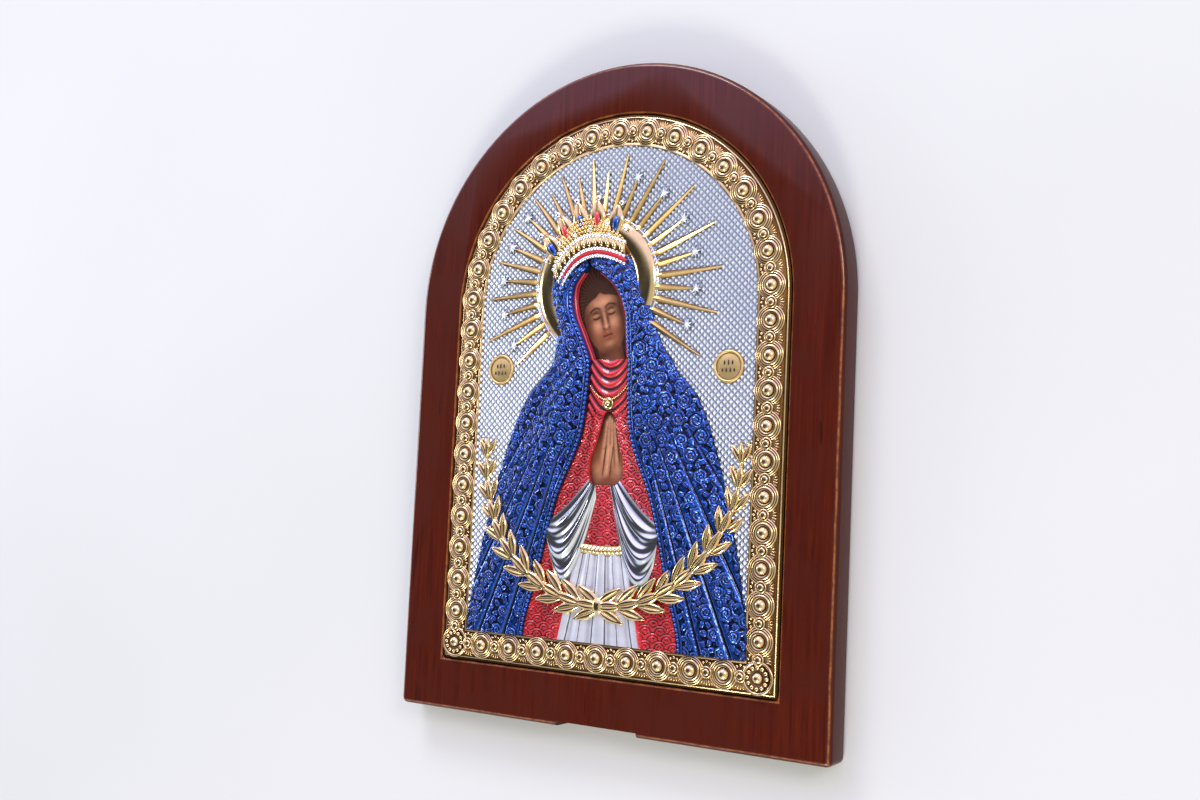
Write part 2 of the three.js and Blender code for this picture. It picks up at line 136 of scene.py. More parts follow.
def select_edges(piece, test):
    """Selects the edges whose two end points both pass the test."""
    bpy.ops.object.mode_set(mode="OBJECT")
    good = test(points(piece))
    ends = np.empty(2 * len(piece.data.edges), dtype=np.int32)
    piece.data.edges.foreach_get("vertices", ends)
    select_only(piece, "edges", good[ends].reshape(-1, 2).all(axis=1))

def select_faces(piece, test):
    """Selects the faces whose centre passes the test."""
    bpy.ops.object.mode_set(mode="OBJECT")
    middle = np.empty(3 * len(piece.data.polygons))
    piece.data.polygons.foreach_get("center", middle)
    select_only(piece, "polygons", test(middle.reshape(-1, 3)))

def outward(piece):
    edit(piece)
    bpy.ops.mesh.normals_make_consistent(inside=False)
    return done(piece)

def smooth(piece, degrees=30):
    clear_selection()
    bpy.context.view_layer.objects.active = piece
    piece.select_set(True)
    bpy.ops.object.shade_smooth_by_angle(angle=math.radians(degrees))
    return piece

def joined(pieces, name):
    clear_selection()
    for piece in pieces:
        piece.select_set(True)
    bpy.context.view_layer.objects.active = pieces[0]
    if len(pieces) > 1:
        bpy.ops.object.join()
    return named(name)

def copies(model, places, name, keep=False):
    """One object from a model repeated at a list of matrices, each copy with its own mesh."""
    made = []
    for matrix in places:
        copy = model.copy()
        copy.data = model.data.copy()
        copy.data.transform(matrix)
        bpy.context.collection.objects.link(copy)
        made.append(copy)
    if not keep:
        bpy.data.objects.remove(model)
    return joined(made, name)

def place(x, y, z, turn=0.0, scale=(1, 1, 1)):
    size = Matrix.Diagonal((*scale, 1))
    return Matrix.Translation((x, y, z)) @ Matrix.Rotation(turn, 4, "Z") @ size

def finish(piece, node, paint):
    piece.data.materials.clear()
    piece.data.materials.append(paint)
    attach(piece, "root")
    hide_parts(node)
    print(piece.name, len(piece.data.polygons), "faces")

def plate(paint, *pieces):
    """Lays pieces of the metal cover in place and gives them their finish."""
    for piece in pieces:
        finish(lay(piece), "icon_plate", paint)

def add_hollow(piece, values):
    """Stores how deep in a groove each vertex lies, 0 to 1."""
    layer = piece.data.attributes.new("hollow", "FLOAT", "POINT")
    layer.data.foreach_set("value", np.clip(np.asarray(values, dtype=np.float32), 0, 1))

# %% [markdown]
# ## A small language for finishes
# Node graphs are hard to read as code, so one class wraps a socket and lets Python arithmetic add the
# Math nodes. `node` makes any other node from its type, its settings and its inputs.

# %% Shader expressions
class Wire:
    def __init__(self, tree, socket=None):
        self.tree = tree
        self.socket = socket

    def node(self, kind, settings, inputs, output=0):
        made = self.tree.nodes.new(kind)
        for name, value in settings.items():
            setattr(made, name, value)
        for name, value in inputs.items():
            if isinstance(value, Wire):
                self.tree.links.new(value.socket, made.inputs[name])
            else:
                made.inputs[name].default_value = value
        return Wire(self.tree, made.outputs[output])

    def math(self, operation, first, second=0.0):
        return self.node("ShaderNodeMath", {"operation": operation}, {0: first, 1: second})

    def __add__(self, other):
        return self.math("ADD", self, other)

    def __sub__(self, other):
        return self.math("SUBTRACT", self, other)

    def __rsub__(self, other):
        return self.math("SUBTRACT", other, self)

    def __mul__(self, other):
        return self.math("MULTIPLY", self, other)

    __radd__ = __add__
    __rmul__ = __mul__

    def low(self, other):
        return self.math("MINIMUM", self, other)

    def high(self, other):
        return self.math("MAXIMUM", self, other)

    def size(self):
        return self.math("ABSOLUTE", self)

    def between(self, start, end):
        """0 at start, 1 at end, eased."""
        settings = {"interpolation_type": "SMOOTHSTEP"}
        inputs = {"Value": self, "From Min": start, "From Max": end}
        return self.node("ShaderNodeMapRange", settings, inputs)

    def mix(self, first, second):
        """The first colour where this is 0, the second where it is 1."""
        full = [c if isinstance(c, Wire) else (*c, 1) for c in (first, second)]
        settings = {"data_type": "RGBA", "clamp_factor": True}
        return self.node("ShaderNodeMix", settings, {0: self, 6: full[0], 7: full[1]}, 2)

    def where(self):
        """Object coordinates in millimetres, as a vector."""
        spot = self.node("ShaderNodeTexCoord", {}, {}, 3)
        return self.node("ShaderNodeVectorMath", {"operation": "SCALE"}, {0: spot, 3: 1000.0})

    def parts(self):
        return [self.node("ShaderNodeSeparateXYZ", {}, {0: self}, k) for k in range(3)]

    def stretch(self, scale):
        return self.node("ShaderNodeMapping", {}, {"Vector": self, "Scale": scale})

    def noise(self, scale, detail=3.0, roughness=0.5, distortion=0.0):
        inputs = {"Vector": self, "Scale": scale, "Detail": detail, "Roughness": roughness,
                  "Distortion": distortion}
        return self.node("ShaderNodeTexNoise", {}, inputs)

    def bump(self, strength, distance):
        inputs = {"Height": self, "Strength": strength, "Distance": distance}
        return self.node("ShaderNodeBump", {}, inputs)

    def attribute(self, name, output=2):
        return self.node("ShaderNodeAttribute", {"attribute_name": name}, {}, output)

def material(name, feeds, fixed):
    """A Principled material: `feeds` gives the wires for its varying sockets, `fixed` its constants."""
    made = bpy.data.materials.new(name)
    made.use_nodes = True
    shader = made.node_tree.nodes["Principled BSDF"]
    for socket, value in fixed.items():
        shader.inputs[socket].default_value = value
    for socket, wire in feeds(Wire(made.node_tree)).items():
        made.node_tree.links.new(wire.socket, shader.inputs[socket])
    print("finish", name, len(made.node_tree.nodes), "nodes")
    return made

# %% [markdown]
# ## Camera, floor and light
# The camera was found by fitting the outline of the board in the photograph: to the right of the panel
# and a little below its middle. The panel lies on its back, so the camera looks down on it from there.
# Setting it first means that every later look is at the right angle. The stage is one wide pale floor
# under a few large soft lights.

# %% Camera
CAMERA_PLACE = (0.28095, -0.0435, 0.46788)
CAMERA_YAW, CAMERA_PITCH, CAMERA_ROLL = (math.radians(a) for a in (-32.155, 4.280, 2.660))
LENS = 39.63

def laid(a, b, c):
    """A direction given for the upright panel, turned to the panel lying on its back."""
    return Vector((a, c, -b))

ahead = laid(math.sin(CAMERA_YAW) * math.cos(CAMERA_PITCH), math.cos(CAMERA_YAW) * math.cos(CAMERA_PITCH),
             math.sin(CAMERA_PITCH))
level = laid(math.cos(CAMERA_YAW), -math.sin(CAMERA_YAW), 0)
rise = level.cross(ahead)
right = level * math.cos(CAMERA_ROLL) + rise * math.sin(CAMERA_ROLL)
top = rise * math.cos(CAMERA_ROLL) - level * math.sin(CAMERA_ROLL)
bpy.ops.object.camera_add(location=CAMERA_PLACE)
camera = bpy.context.object
camera.rotation_euler = Matrix((right, top, -ahead)).transposed().to_euler()
camera.data.lens = LENS
camera.data.sensor_width = 36
camera.data.clip_start = 0.01
bpy.context.scene.camera = camera
bpy.context.scene.view_settings.view_transform = "Standard"
print("camera looks along", [round(v, 3) for v in ahead])

# %% Floor and lights
clear_selection()
bpy.ops.mesh.primitive_plane_add(size=8)
floor = named("stage_floor")

def softbox(name, at, size, power, colour):
    bpy.ops.object.light_add(type="AREA", location=at)
    lamp = bpy.context.object
    lamp.name = name
    lamp.data.shape = "RECTANGLE"
    lamp.data.size, lamp.data.size_y = size
    lamp.data.energy = power
    lamp.data.color = colour
    lamp.rotation_euler = (-Vector(at)).to_track_quat("-Z", "Y").to_euler()

softbox("window_light", (-0.35, 1.2, 0.75), (0.6, 0.35), 9, (0.86, 0.92, 1.0))
softbox("key_light", (1.0, 0.45, 0.9), (0.35, 0.35), 4, (1.0, 0.96, 0.9))
softbox("foot_light", (0.15, -1.2, 0.8), (0.4, 0.3), 9, (1.0, 0.97, 0.92))
softbox("side_light", (-1.3, 0.15, 0.35), (0.4, 0.3), 3.0, (0.92, 0.96, 1.0))

# %% [markdown]
# ## Surroundings
# Polished metal shows what stands round it more than its own colour, and lacquered wood looks deep only
# when it mirrors something dark. So the surroundings are a pale studio with one dark screen, set where
# the flat face of the panel mirrors it. Tilted facets then pick up the pale walls and sparkle against
# darker flats.

# %% Surroundings
SCREEN = (-0.53, -0.02, 0.848)

def studio(w):
    direction = w.node("ShaderNodeTexCoord", {}, {}, 0)
    x, y, z = direction.parts()
    facing = w.node("ShaderNodeVectorMath", {"operation": "DOT_PRODUCT"}, {0: direction, 1: SCREEN}, 1)
    walls = x.between(-1.0, 1.0).mix((0.80, 0.90, 1.08), (1.05, 0.98, 0.90))
    ceiling = z.between(0.35, 0.95).mix(walls, (0.62, 0.66, 0.72))
    screen = facing.between(0.74, 0.90) * y.between(0.42, 0.14)
    sky = y.between(0.18, 0.48).mix(ceiling, (1.22, 1.16, 1.90))
    return screen.mix(sky, (0.06, 0.06, 0.07))

world = bpy.data.worlds.new("studio")
bpy.context.scene.world = world
world.use_nodes = True
background = world.node_tree.nodes["Background"]
world.node_tree.links.new(studio(Wire(world.node_tree)).socket, background.inputs["Color"])
background.inputs["Strength"].default_value = 0.88
print("surroundings:", len(world.node_tree.nodes), "nodes")

# %% [markdown]
# ## The board
# The real board is sawn to an arch, routed for the picture and rounded over along its edges. The same
# steps work here: half a disc is drawn, its flat side is pulled down to the foot, the face is given its
# thickness, the pocket and the notch are cut with booleans, and the edges are beveled last.

# %% Arch blank
ARCH_POINTS = 192
NEAR = 1.1

def arch_blank(name, inset, z):
    """A flat arch-shaped face, set in from the edge of the board."""
    half = HALF_WIDTH - inset
    clear_selection()
    bpy.ops.mesh.primitive_circle_add(vertices=ARCH_POINTS, radius=half, fill_type="NGON")
    piece = named(name)
    piece.location = (0, SPRING_HEIGHT, z)
    apply_all(piece)
    edit(piece)
    bpy.ops.mesh.bisect(plane_co=(0, SPRING_HEIGHT, z), plane_no=(0, 1, 0), clear_inner=True)
    select_edges(piece, lambda p: np.abs(p[:, 1] - SPRING_HEIGHT) < 1e-3)
    bpy.ops.mesh.extrude_region_move(TRANSFORM_OT_translate={"value": (0, inset - SPRING_HEIGHT, 0)})
    select_edges(piece, lambda p: np.abs(p[:, 1] - SPRING_HEIGHT) < 1e-3)
    bpy.ops.mesh.dissolve_edges(use_verts=False)
    return done(piece)

def round_corners(piece, radius):
    edit(piece)
    select_vertices(piece, lambda p: p[:, 1] < p[:, 1].min() + 1e-3)
    bpy.ops.mesh.bevel(offset=radius, segments=4, affect="VERTICES")
    return done(piece)

def thicken(piece, depth):
    edit(piece)
    bpy.ops.mesh.extrude_region_move(TRANSFORM_OT_translate={"value": (0, 0, depth)})
    done(piece)
    return outward(piece)

def cut(piece, cutter):
    clear_selection()
    bpy.context.view_layer.objects.active = piece
    step = piece.modifiers.new("cut", "BOOLEAN")
    step.operation = "DIFFERENCE"
    step.solver = "EXACT"
    step.object = cutter
    bpy.ops.object.modifier_apply(modifier=step.name)
    bpy.data.objects.remove(cutter)
    return piece

def inset_of(p):
    """How far points lie inside the edge of the board."""
    side = HALF_WIDTH - np.abs(p[:, 0])
    arch = HALF_WIDTH - np.hypot(p[:, 0], p[:, 1] - SPRING_HEIGHT)
    return np.where(p[:, 1] > SPRING_HEIGHT, arch, np.minimum(side, p[:, 1]))

def window_rim(p):
    return (np.abs(inset_of(p) - WINDOW_MARGIN) < NEAR) & (p[:, 2] > POCKET_DEPTH - 0.01)

print("the arch has", ARCH_POINTS // 2, "steps")

# %% Board
board = round_corners(arch_blank("board", 0, BACK), BOARD_CORNER)
thicken(board, BOARD_THICKNESS)
pocket = round_corners(arch_blank("pocket", WINDOW_MARGIN, 0), BOARD_CORNER)
cut(board, thicken(pocket, 2 * POCKET_DEPTH))
edit(board)
for level in (BACK, POCKET_DEPTH):
    select_edges(board, lambda p: (inset_of(p) < NEAR) & (np.abs(p[:, 2] - level) < 0.01))
    bpy.ops.mesh.bevel(offset=EDGE_ROUND, segments=6, affect="EDGES")
select_edges(board, window_rim)
bpy.ops.mesh.bevel(offset=WINDOW_ROUND, segments=4, affect="EDGES")
done(board)
clear_selection()
bpy.ops.mesh.primitive_cube_add(size=1)
notch = named("notch")
notch.scale = (NOTCH_WIDTH, 2 * NOTCH_HEIGHT, 4 * BOARD_THICKNESS)
cut(board, apply_all(notch))
smooth(lay(board), 35)
print("board", [round(v * 1000, 1) for v in board.dimensions], "mm")

# %% [markdown]
# ## Stained wood
# The board is stained a deep red brown and lacquered to a satin gloss. Long noise stretched up the panel
# gives the grain, and short dark flecks are its pores. A thin pale line along the front edge and the lip
# of the pocket is partly stain rubbed off and partly a painted highlight on the rounded edge. The lines
# are drawn from the distance to the arch, so they stay crisp. Painted shade darkens the outer sides of
# the board, where the lacquer coat is also thinner.

# %% Stained wood
def wood_feeds(w):
    spot = w.where()
    x, y, z = spot.parts()
    grain = spot.stretch((0.55, 0.022, 0.5)).noise(1.0, 6.0, 0.62, 0.6)
    streak = spot.stretch((2.6, 0.05, 2.6)).noise(1.0, 3.0, 0.5)
    pore = spot.stretch((5.5, 0.24, 5.5)).noise(1.0, 2.0, 0.5)
    flecks = pore.between(0.60, 0.68) * streak.between(0.42, 0.62)
    up = y + CENTRE_Y
    over = (up - SPRING_HEIGHT).high(0.0)
    radius = w.math("SQRT", x * x + over * over)
    inset = (HALF_WIDTH - radius).low(up)
    wander = spot.noise(0.045, 4.0, 0.6)
    worn = spot.noise(0.35, 4.0, 0.6).between(0.36, 0.62)
    front = z.between(BOARD_THICKNESS - 2.4, BOARD_THICKNESS - 1.4)
    # The thin pale line on the front edge and the pocket lip is partly stain rubbed off and partly a
    # painted highlight on the rounded edge.
    edge = (inset - 0.75 - wander * 0.9).size().between(0.5, 0.1)
    lip = (inset - WINDOW_MARGIN + 0.3).size().between(0.5, 0.12)
    rub_and_highlight = (edge * (0.35 + worn * 0.65)).high(lip * (0.45 + worn * 0.55)) * front
    soft = grain.between(0.15, 0.85).mix((0.042, 0.0052, 0.0024), (0.112, 0.0145, 0.0046))
    mark = spot.stretch((0.24, 0.032, 0.24)).noise(1.0, 2.0, 0.5).between(0.66, 0.73)
    dark = (flecks * 0.75).high(mark * 0.7).mix(soft, (0.020, 0.0035, 0.003))
    shade = wander.between(0.35, 0.7).mix(dark, (0.072, 0.012, 0.006))
    # Painted shade: the outer sides and the outer part of the rounded edges are darkened, and their
    # lacquer coat is thinner.
    side = inset.between(1.2, 0.2)
    shaded_sides = (side * 0.45).mix(shade, (0.024, 0.005, 0.003))
    colour = (rub_and_highlight * 0.85).mix(shaded_sides, (0.36, 0.115, 0.022))
    gloss = 0.26 + grain * 0.08 + flecks * 0.12
    pits = (grain * 0.35 - flecks * 0.8).bump(0.12, 0.0004)
    polish = 0.66 - side * 0.54
    return {"Base Color": colour, "Roughness": gloss, "Coat Weight": polish, "Normal": pits}

satin = {"Specular IOR Level": 0.06, "Coat Roughness": 0.14}
stained_wood = material("stained_wood", wood_feeds, satin)
finish(board, "wood_board", stained_wood)

# %% [markdown]
# ## Pale floor
# The floor only carries light and shadow, so it is a plain pale paint with a slow change of tone.

# %% Pale floor
def floor_feeds(w):
    tone = w.where().noise(0.004, 2.0)
    pale = tone.mix((0.68, 0.675, 0.61), (0.755, 0.755, 0.69))
    return {"Base Color": pale, "Roughness": 0.55 + tone * 0.1}

floor.data.materials.append(material("pale_floor", floor_feeds, {}))

# %% [markdown]
# ## Metal finishes
# The cover is one sheet in several finishes. The border is antiqued gold, whose hollows keep a dark
# patina. The halo, rays and branches are polished gold. The ground is bright silver, and the clothes are
# silver under clear blue and red lacquer. Pieces that have engraved lines carry an attribute called
# `hollow`, 1 in the grooves and 0 on the crests, so that the patina follows the modelling and not a guess
# about light.

# %% Metal finishes
def metal(name, crest, groove, gloss, fixed=None, second=None):
    """A metal: crest and groove colours, with the second crest colour in cloudy patches."""
    def feeds(w):
        hollow = w.attribute("hollow")
        cloud = w.where().noise(0.12, 4.0, 0.6)
        fine = w.where().noise(0.6, 3.0, 0.6)
        worn = (hollow * 1.1 + (cloud - 0.5) * 0.25).between(0.05, 0.95)
        pale = cloud.between(0.35, 0.65).mix(crest, second or [c * 0.86 for c in crest])
        return {"Base Color": worn.mix(pale, groove), "Normal": fine.bump(0.05, 0.0002),
                "Roughness": gloss + cloud * 0.10 + worn * 0.22}
    return material(name, feeds, {"Metallic": 1.0, **(fixed or {})})

antique_gold = metal("antique_gold", (0.97, 0.69, 0.35), (0.14, 0.066, 0.018), 0.17)
polished_gold = metal("polished_gold", (0.96, 0.70, 0.33), (0.26, 0.13, 0.03), 0.06)
satin_gold = metal("satin_gold", (0.92, 0.62, 0.24), (0.15, 0.07, 0.015), 0.22)
soft_gold = metal("soft_gold", (0.95, 0.68, 0.28), (0.24, 0.12, 0.03), 0.42)
bright_silver = metal("bright_silver", (0.89, 0.93, 0.95), (0.39, 0.42, 0.46), 0.25)
polished_silver = metal("polished_silver", (0.93, 0.94, 0.96), (0.24, 0.25, 0.29), 0.10)
white_satin = metal("white_satin", (0.80, 0.80, 0.84), (0.10, 0.10, 0.12), 0.34, {"Metallic": 0.45})
lacquer = {"Metallic": 0.8, "Coat Weight": 0.9, "Coat Roughness": 0.05}
red_coat = {"Metallic": 0.35, "Coat Weight": 0.7, "Coat Roughness": 0.06}
blue_lacquer = metal("blue_lacquer", (0.009, 0.106, 0.51), (0.001, 0.003, 0.019), 0.15, lacquer,
                     (0.022, 0.080, 0.41))
red_lacquer = metal("red_lacquer", (0.86, 0.048, 0.052), (0.085, 0.003, 0.005), 0.18, red_coat)
dark_enamel = metal("dark_enamel", (0.035, 0.018, 0.012), (0.01, 0.006, 0.004), 0.25, lacquer)

# %% [markdown]
# ## Border moulding
# The border rises from its outer rim over a rounded moulding to the flat ground, with a thin bead at each
# side. One arch-shaped face is inset again and again, each time with its own step in height, which is
# what the profile of a frame moulding is. The last face is pushed down and opened, and the two lower rims
# are bridged to close the ring.

# %% Border moulding
RIM_TOP = 2.6
FLANGE = 0.75
BORDER_STEPS = [(-0.1, 2.65), (0.1, 3.1), (0.55, 3.3), (1.0, 3.1), (1.8, 3.9), (3.4, 4.45),
                (6.45, 4.7), (9.3, 4.75), (11.1, 4.5), (11.5, 4.85), (12.2, 4.9), (12.9, 4.1)]

border = thicken(arch_blank("border", PLATE_MARGIN - FLANGE, FIT), RIM_TOP - FIT)
edit(border)
select_faces(border, lambda c: c[:, 2] > RIM_TOP - 0.01)
reach, height = -FLANGE, RIM_TOP
for across, level in BORDER_STEPS:
    bpy.ops.mesh.inset(thickness=across - reach, depth=level - height)
    reach, height = across, level
bpy.ops.mesh.extrude_region_move(TRANSFORM_OT_translate={"value": (0, 0, FIT - height)})
bpy.ops.mesh.delete(type="ONLY_FACE")
select_faces(border, lambda c: c[:, 2] < FIT + 0.01)
bpy.ops.mesh.delete(type="ONLY_FACE")
select_edges(border, lambda p: p[:, 2] < FIT + 0.01)
bpy.ops.mesh.bridge_edge_loops()
done(border)

across = inset_of(points(border)) - PLATE_MARGIN
add_hollow(border, np.interp(across, [-0.2, 0.1, 0.55, 1.0, 3.4, 9.3, 11.1, 11.8, 12.5, 12.9],
                             [1, 0.4, 0, 1, 0.5, 0.5, 1, 0, 0.3, 1]))
plate(antique_gold, smooth(outward(border), 50))

# %% [markdown]
# ## Bosses on the border
# Turned bosses with rings round a dome follow the middle of the border, with a smaller one between each
# two, short strokes fanned along the outer edge and drops along the inner edge. Each is modelled once: a
# disc is inset with steps up and down, so every step is one ring. Copies are then set along the path.

# %% Border bosses
def turned_boss(name, radius, corners, rings):
    """A ringed boss from (width, step up, hollow) rings, outermost first."""
    clear_selection()
    bpy.ops.mesh.primitive_circle_add(vertices=corners, radius=radius, fill_type="NGON")
    piece = named(name)
    edit(piece)
    bpy.ops.mesh.extrude_region_move(TRANSFORM_OT_translate={"value": (0, 0, 0.5)})
    for width, rise, _ in rings:
        bpy.ops.mesh.inset(thickness=width, depth=rise)
    outward(done(piece))
    edges = radius - np.cumsum([0] + [ring[0] for ring in rings])
    marks = [0.6] + [ring[2] for ring in rings]
    at = points(piece)
    away = np.hypot(at[:, 0], at[:, 1]) / math.cos(math.pi / corners) ** 0.5
    add_hollow(piece, np.interp(away, edges[::-1], marks[::-1]))
    return smooth(piece, 60)

LINE = [(0.24, 0.32, 0.2), (0.28, 0.05, 0.0), (0.30, -0.37, 1.0)]
ROLL = [(0.22, 0.34, 0.3), (0.36, 0.16, 0.0), (0.36, -0.04, 0.0), (0.26, -0.44, 1.0)]
DISH = [(0.24, 0.36, 0.3), (0.50, 0.20, 0.0), (0.60, 0.02, 0.0), (0.36, -0.36, 0.8)]
DOME = [(0.16, -0.04, 1.0), (0.15, 0.45, 0.4), (0.36, 0.58, 0.0), (0.50, 0.40, 0.0), (0.60, 0.24, 0.0),
        (0.45, 0.05, 0.0)]
BUD = [(0.12, 0.0, 1.0), (0.15, 0.34, 0.3), (0.30, 0.26, 0.0), (0.35, 0.10, 0.0)]
BOSS_RADIUS = 5.9
SIDE_STEPS = 38
BOTTOM_STEPS = 10
MIDDLE = PLATE_MARGIN + BORDER_WIDTH / 2

def border_path(share):
    """Point and outward turn on the middle of the border, from the right foot over the arch."""
    half = HALF_WIDTH - MIDDLE
    side = SPRING_HEIGHT - MIDDLE
    length = 2 * side + math.pi * half
    distance = share * length
    if distance < side:
        return (half, MIDDLE + distance), 0.0
    if distance > length - side:
        return (-half, MIDDLE + length - distance), math.pi
    angle = (distance - side) / half
    return (half * math.cos(angle), SPRING_HEIGHT + half * math.sin(angle)), angle

def foot_path(share):
    half = HALF_WIDTH - MIDDLE
    return (half * (2 * share - 1), MIDDLE), -math.pi / 2

large = [border_path(k / SIDE_STEPS) for k in range(1, SIDE_STEPS)]
large += [foot_path(k / BOTTOM_STEPS) for k in range(1, BOTTOM_STEPS)]
small = [border_path((k + 0.5) / SIDE_STEPS) for k in range(SIDE_STEPS)]
small += [foot_path((k + 0.5) / BOTTOM_STEPS) for k in range(BOTTOM_STEPS)]
corners = [border_path(0.0), border_path(1.0)]

boss = turned_boss("boss", BOSS_RADIUS, 32, LINE + LINE + DISH + DOME)
bosses = copies(boss, [place(*at, 4.3, turn) for at, turn in large], "border_bosses")
eye = turned_boss("eye", 2.5, 18, LINE + BUD)
eyes = copies(eye, [place(*at, 4.75, turn) for at, turn in small], "border_eyes")
rose = turned_boss("rose", 6.5, 32, ROLL + [(2.9, 0.0, 0.45)] + DOME)
roses = copies(rose, [place(*at, 4.45, turn) for at, turn in corners], "corner_roses")
print(len(large), "bosses,", len(small), "eyes and", len(corners), "roses")

# %% Strokes and drops
def flat_foot(piece, level):
    """Cuts a grain off below a level, where it is soldered on."""
    edit(piece)
    bpy.ops.mesh.bisect(plane_co=(0, 0, level), plane_no=(0, 0, 1), clear_inner=True, use_fill=True)
    return outward(done(piece))

def drop(name, size):
    clear_selection()
    bpy.ops.mesh.primitive_uv_sphere_add(segments=8, ring_count=5, radius=1)
    piece = flat_foot(named(name), -0.6)
    piece.scale = size
    apply_all(piece)
    add_hollow(piece, 0.9 - points(piece)[:, 2] / size[2])
    return smooth(piece, 80)

def beside(at, turn, out, along):
    x, y = at
    c, s = math.cos(turn), math.sin(turn)
    return x + out * c - along * s, y + out * s + along * c

FAN_STEP = 0.30
ROSE_BEADS, ROSE_REACH = 12, 3.95

strokes, beads = [], []
for at, turn in small:
    for k in range(-3, 4):
        lean = FAN_STEP * k
        fan = beside(at, turn, 1.9 + 2.0 * math.cos(lean), 3.2 * math.sin(lean))
        strokes.append(place(*fan, 3.75, turn + lean))
    for k in (-1, 0, 1):
        beads.append(place(*beside(at, turn, -4.1 + 0.5 * abs(k), 1.45 * k), 4.75, turn))
for at, turn in corners:
    for k in range(ROSE_BEADS):
        petal = beside(at, 2 * math.pi * k / ROSE_BEADS, ROSE_REACH, 0.0)
        beads.append(place(*petal, 5.15, 0.0, (1.5, 1.5, 1.5)))
fans = copies(drop("stroke", (1.5, 0.30, 0.75)), strokes, "border_strokes")
drops = copies(drop("bead", (0.62, 0.62, 0.5)), beads, "border_drops")
ornament = joined([bosses, eyes, roses, fans, drops], "border_ornament")
plate(antique_gold, ornament)

# %% [markdown]
# ## The shape of the figure
# The clothes are reliefs whose outlines are few smooth curves: the leaning centre line of the head, the
# half width of the mantle, and the half width of its opening. The same curves shape the solids, so they
# are kept as functions that work on whole arrays of points.

# %% Figure curves
NECK_X, NECK_Y = 1.0, 148.0
HEAD_TILT = math.radians(16)
HEM = 0.9
MANTLE_FOOT, MANTLE_TOP = 35.0, 196.0
NECKLINE = 149.0
FOLD_ORIGIN = 176.0
SKIRT_TOP = MANTLE_FOOT + 38

def through(knots):
    """A smooth curve through (position, value) knots, level at both ends."""
    at, value = np.array(knots, dtype=float).T
    slope = np.zeros(len(at))
    slope[1:-1] = (value[2:] - value[:-2]) / (at[2:] - at[:-2])
    def curve(x):
        u = np.clip(x, at[0], at[-1])
        k = np.clip(np.searchsorted(at, u, side="right") - 1, 0, len(at) - 2)
        span = at[k + 1] - at[k]
        t = (u - at[k]) / span
        ease = t * t * (3 - 2 * t)
        lead = t * (1 - t) ** 2 * span * slope[k]
        tail = t * t * (t - 1) * span * slope[k + 1]
        return value[k] + (value[k + 1] - value[k]) * ease + lead + tail
    return curve

mantle_half = through([(35, 66), (60, 62.5), (90, 56), (118, 47.5), (134, 40), (146, 29.5), (158, 24.5),
                       (174, 23.5), (188, 20.5), (196, 16)])
opening_half = through([(35, 36), (60, 30), (92, 22), (116, 12), (132, 9.5), (149, 9), (158, 10.5),
                        (169, 12.3), (179, 10), (185, 4.5), (188, 0.6)])
mantle_rise = through([(35, 1.4), (90, 2.2), (130, 2.4), (150, 2.0), (175, 1.9), (196, 1.5)])

def centre_line(y):
    return NECK_X - math.tan(HEAD_TILT) * np.maximum(0, y - NECK_Y)

def mantle_edge(y, side):
    return np.minimum(mantle_half(y), FIELD_HALF + 1.5 - side * centre_line(y))

def skirt_half(y):
    return 19 - 8 * (y - MANTLE_FOOT) / (SKIRT_TOP - MANTLE_FOOT)

def mantle_height(s, x, y):
    crest = np.sin(math.pi * (0.28 + 0.72 * s))
    fan = np.arctan2(x - NECK_X, FOLD_ORIGIN - y)
    settle = np.clip((FOLD_ORIGIN - y) / 50, 0, 1)
    return HEM + mantle_rise(y) * crest + 0.5 * np.cos(15 * fan) * settle * np.sin(math.pi * s)

def figure_height(x, y):
    """Rise of the dressed figure above the ground."""
    side = np.where(x < centre_line(y), -1, 1)
    away = np.abs(x - centre_line(y))
    inner, outer = opening_half(y), mantle_edge(y, side)
    s = np.clip((away - inner) / np.maximum(outer - inner, 0.1), 0, 1)
    return np.where(away > outer, 0, np.where(away < inner, 1.6, mantle_height(s, x, y)))

print("mantle is", round(2 * float(mantle_half(118.0)), 1), "mm wide at the elbows")

# %% [markdown]
# ## Silver ground
# The ground is stamped all over with small raised diamonds. A grid is turned by 45 degrees, cut back to
# what shows round the figure, given thickness, and each face is inset and poked to a point, so one set of
# operators makes thousands of alike pyramids of few faces.

# %% Silver ground
DIAMOND = 1.95
GROUND_SPAN = 250
GROUND_SHEET = 0.6
DIAMOND_GAP, DIAMOND_RISE = 0.09, 0.62

clear_selection()
cells = int(GROUND_SPAN / DIAMOND)
bpy.ops.mesh.primitive_grid_add(x_subdivisions=cells, y_subdivisions=cells, size=cells * DIAMOND)
ground = named("silver_ground")
ground.location = (0, CENTRE_Y, GROUND - GROUND_SHEET)
ground.rotation_euler = (0, 0, math.pi / 4)
apply_all(ground)

def hidden_ground(c):
    outside = inset_of(c) < PLATE_MARGIN + BORDER_WIDTH - 1.3
    covered = np.abs(c[:, 0] - centre_line(c[:, 1])) < mantle_half(c[:, 1]) - 3.0
    return outside | (covered & (c[:, 1] < MANTLE_TOP - 2))

edit(ground)
select_faces(ground, hidden_ground)
bpy.ops.mesh.delete(type="FACE")
bpy.ops.mesh.select_all(action="SELECT")
bpy.ops.mesh.extrude_region_move(TRANSFORM_OT_translate={"value": (0, 0, GROUND_SHEET)})
bpy.ops.mesh.inset(thickness=DIAMOND_GAP, depth=0.0, use_individual=True)
bpy.ops.mesh.poke(offset=DIAMOND_RISE)
done(ground)
add_hollow(ground, 1 - (points(ground)[:, 2] - GROUND) / 0.25)
plate(bright_silver, outward(ground))

# %% [markdown]
# ## Drapery
# A relief is a grid whose two long edges follow two curves, with a height at every vertex, then an
# extruded rim and a flat back. `drape` does that for any pair of curves. It also marks as hollow what
# lies lower than the blurred heights round it.

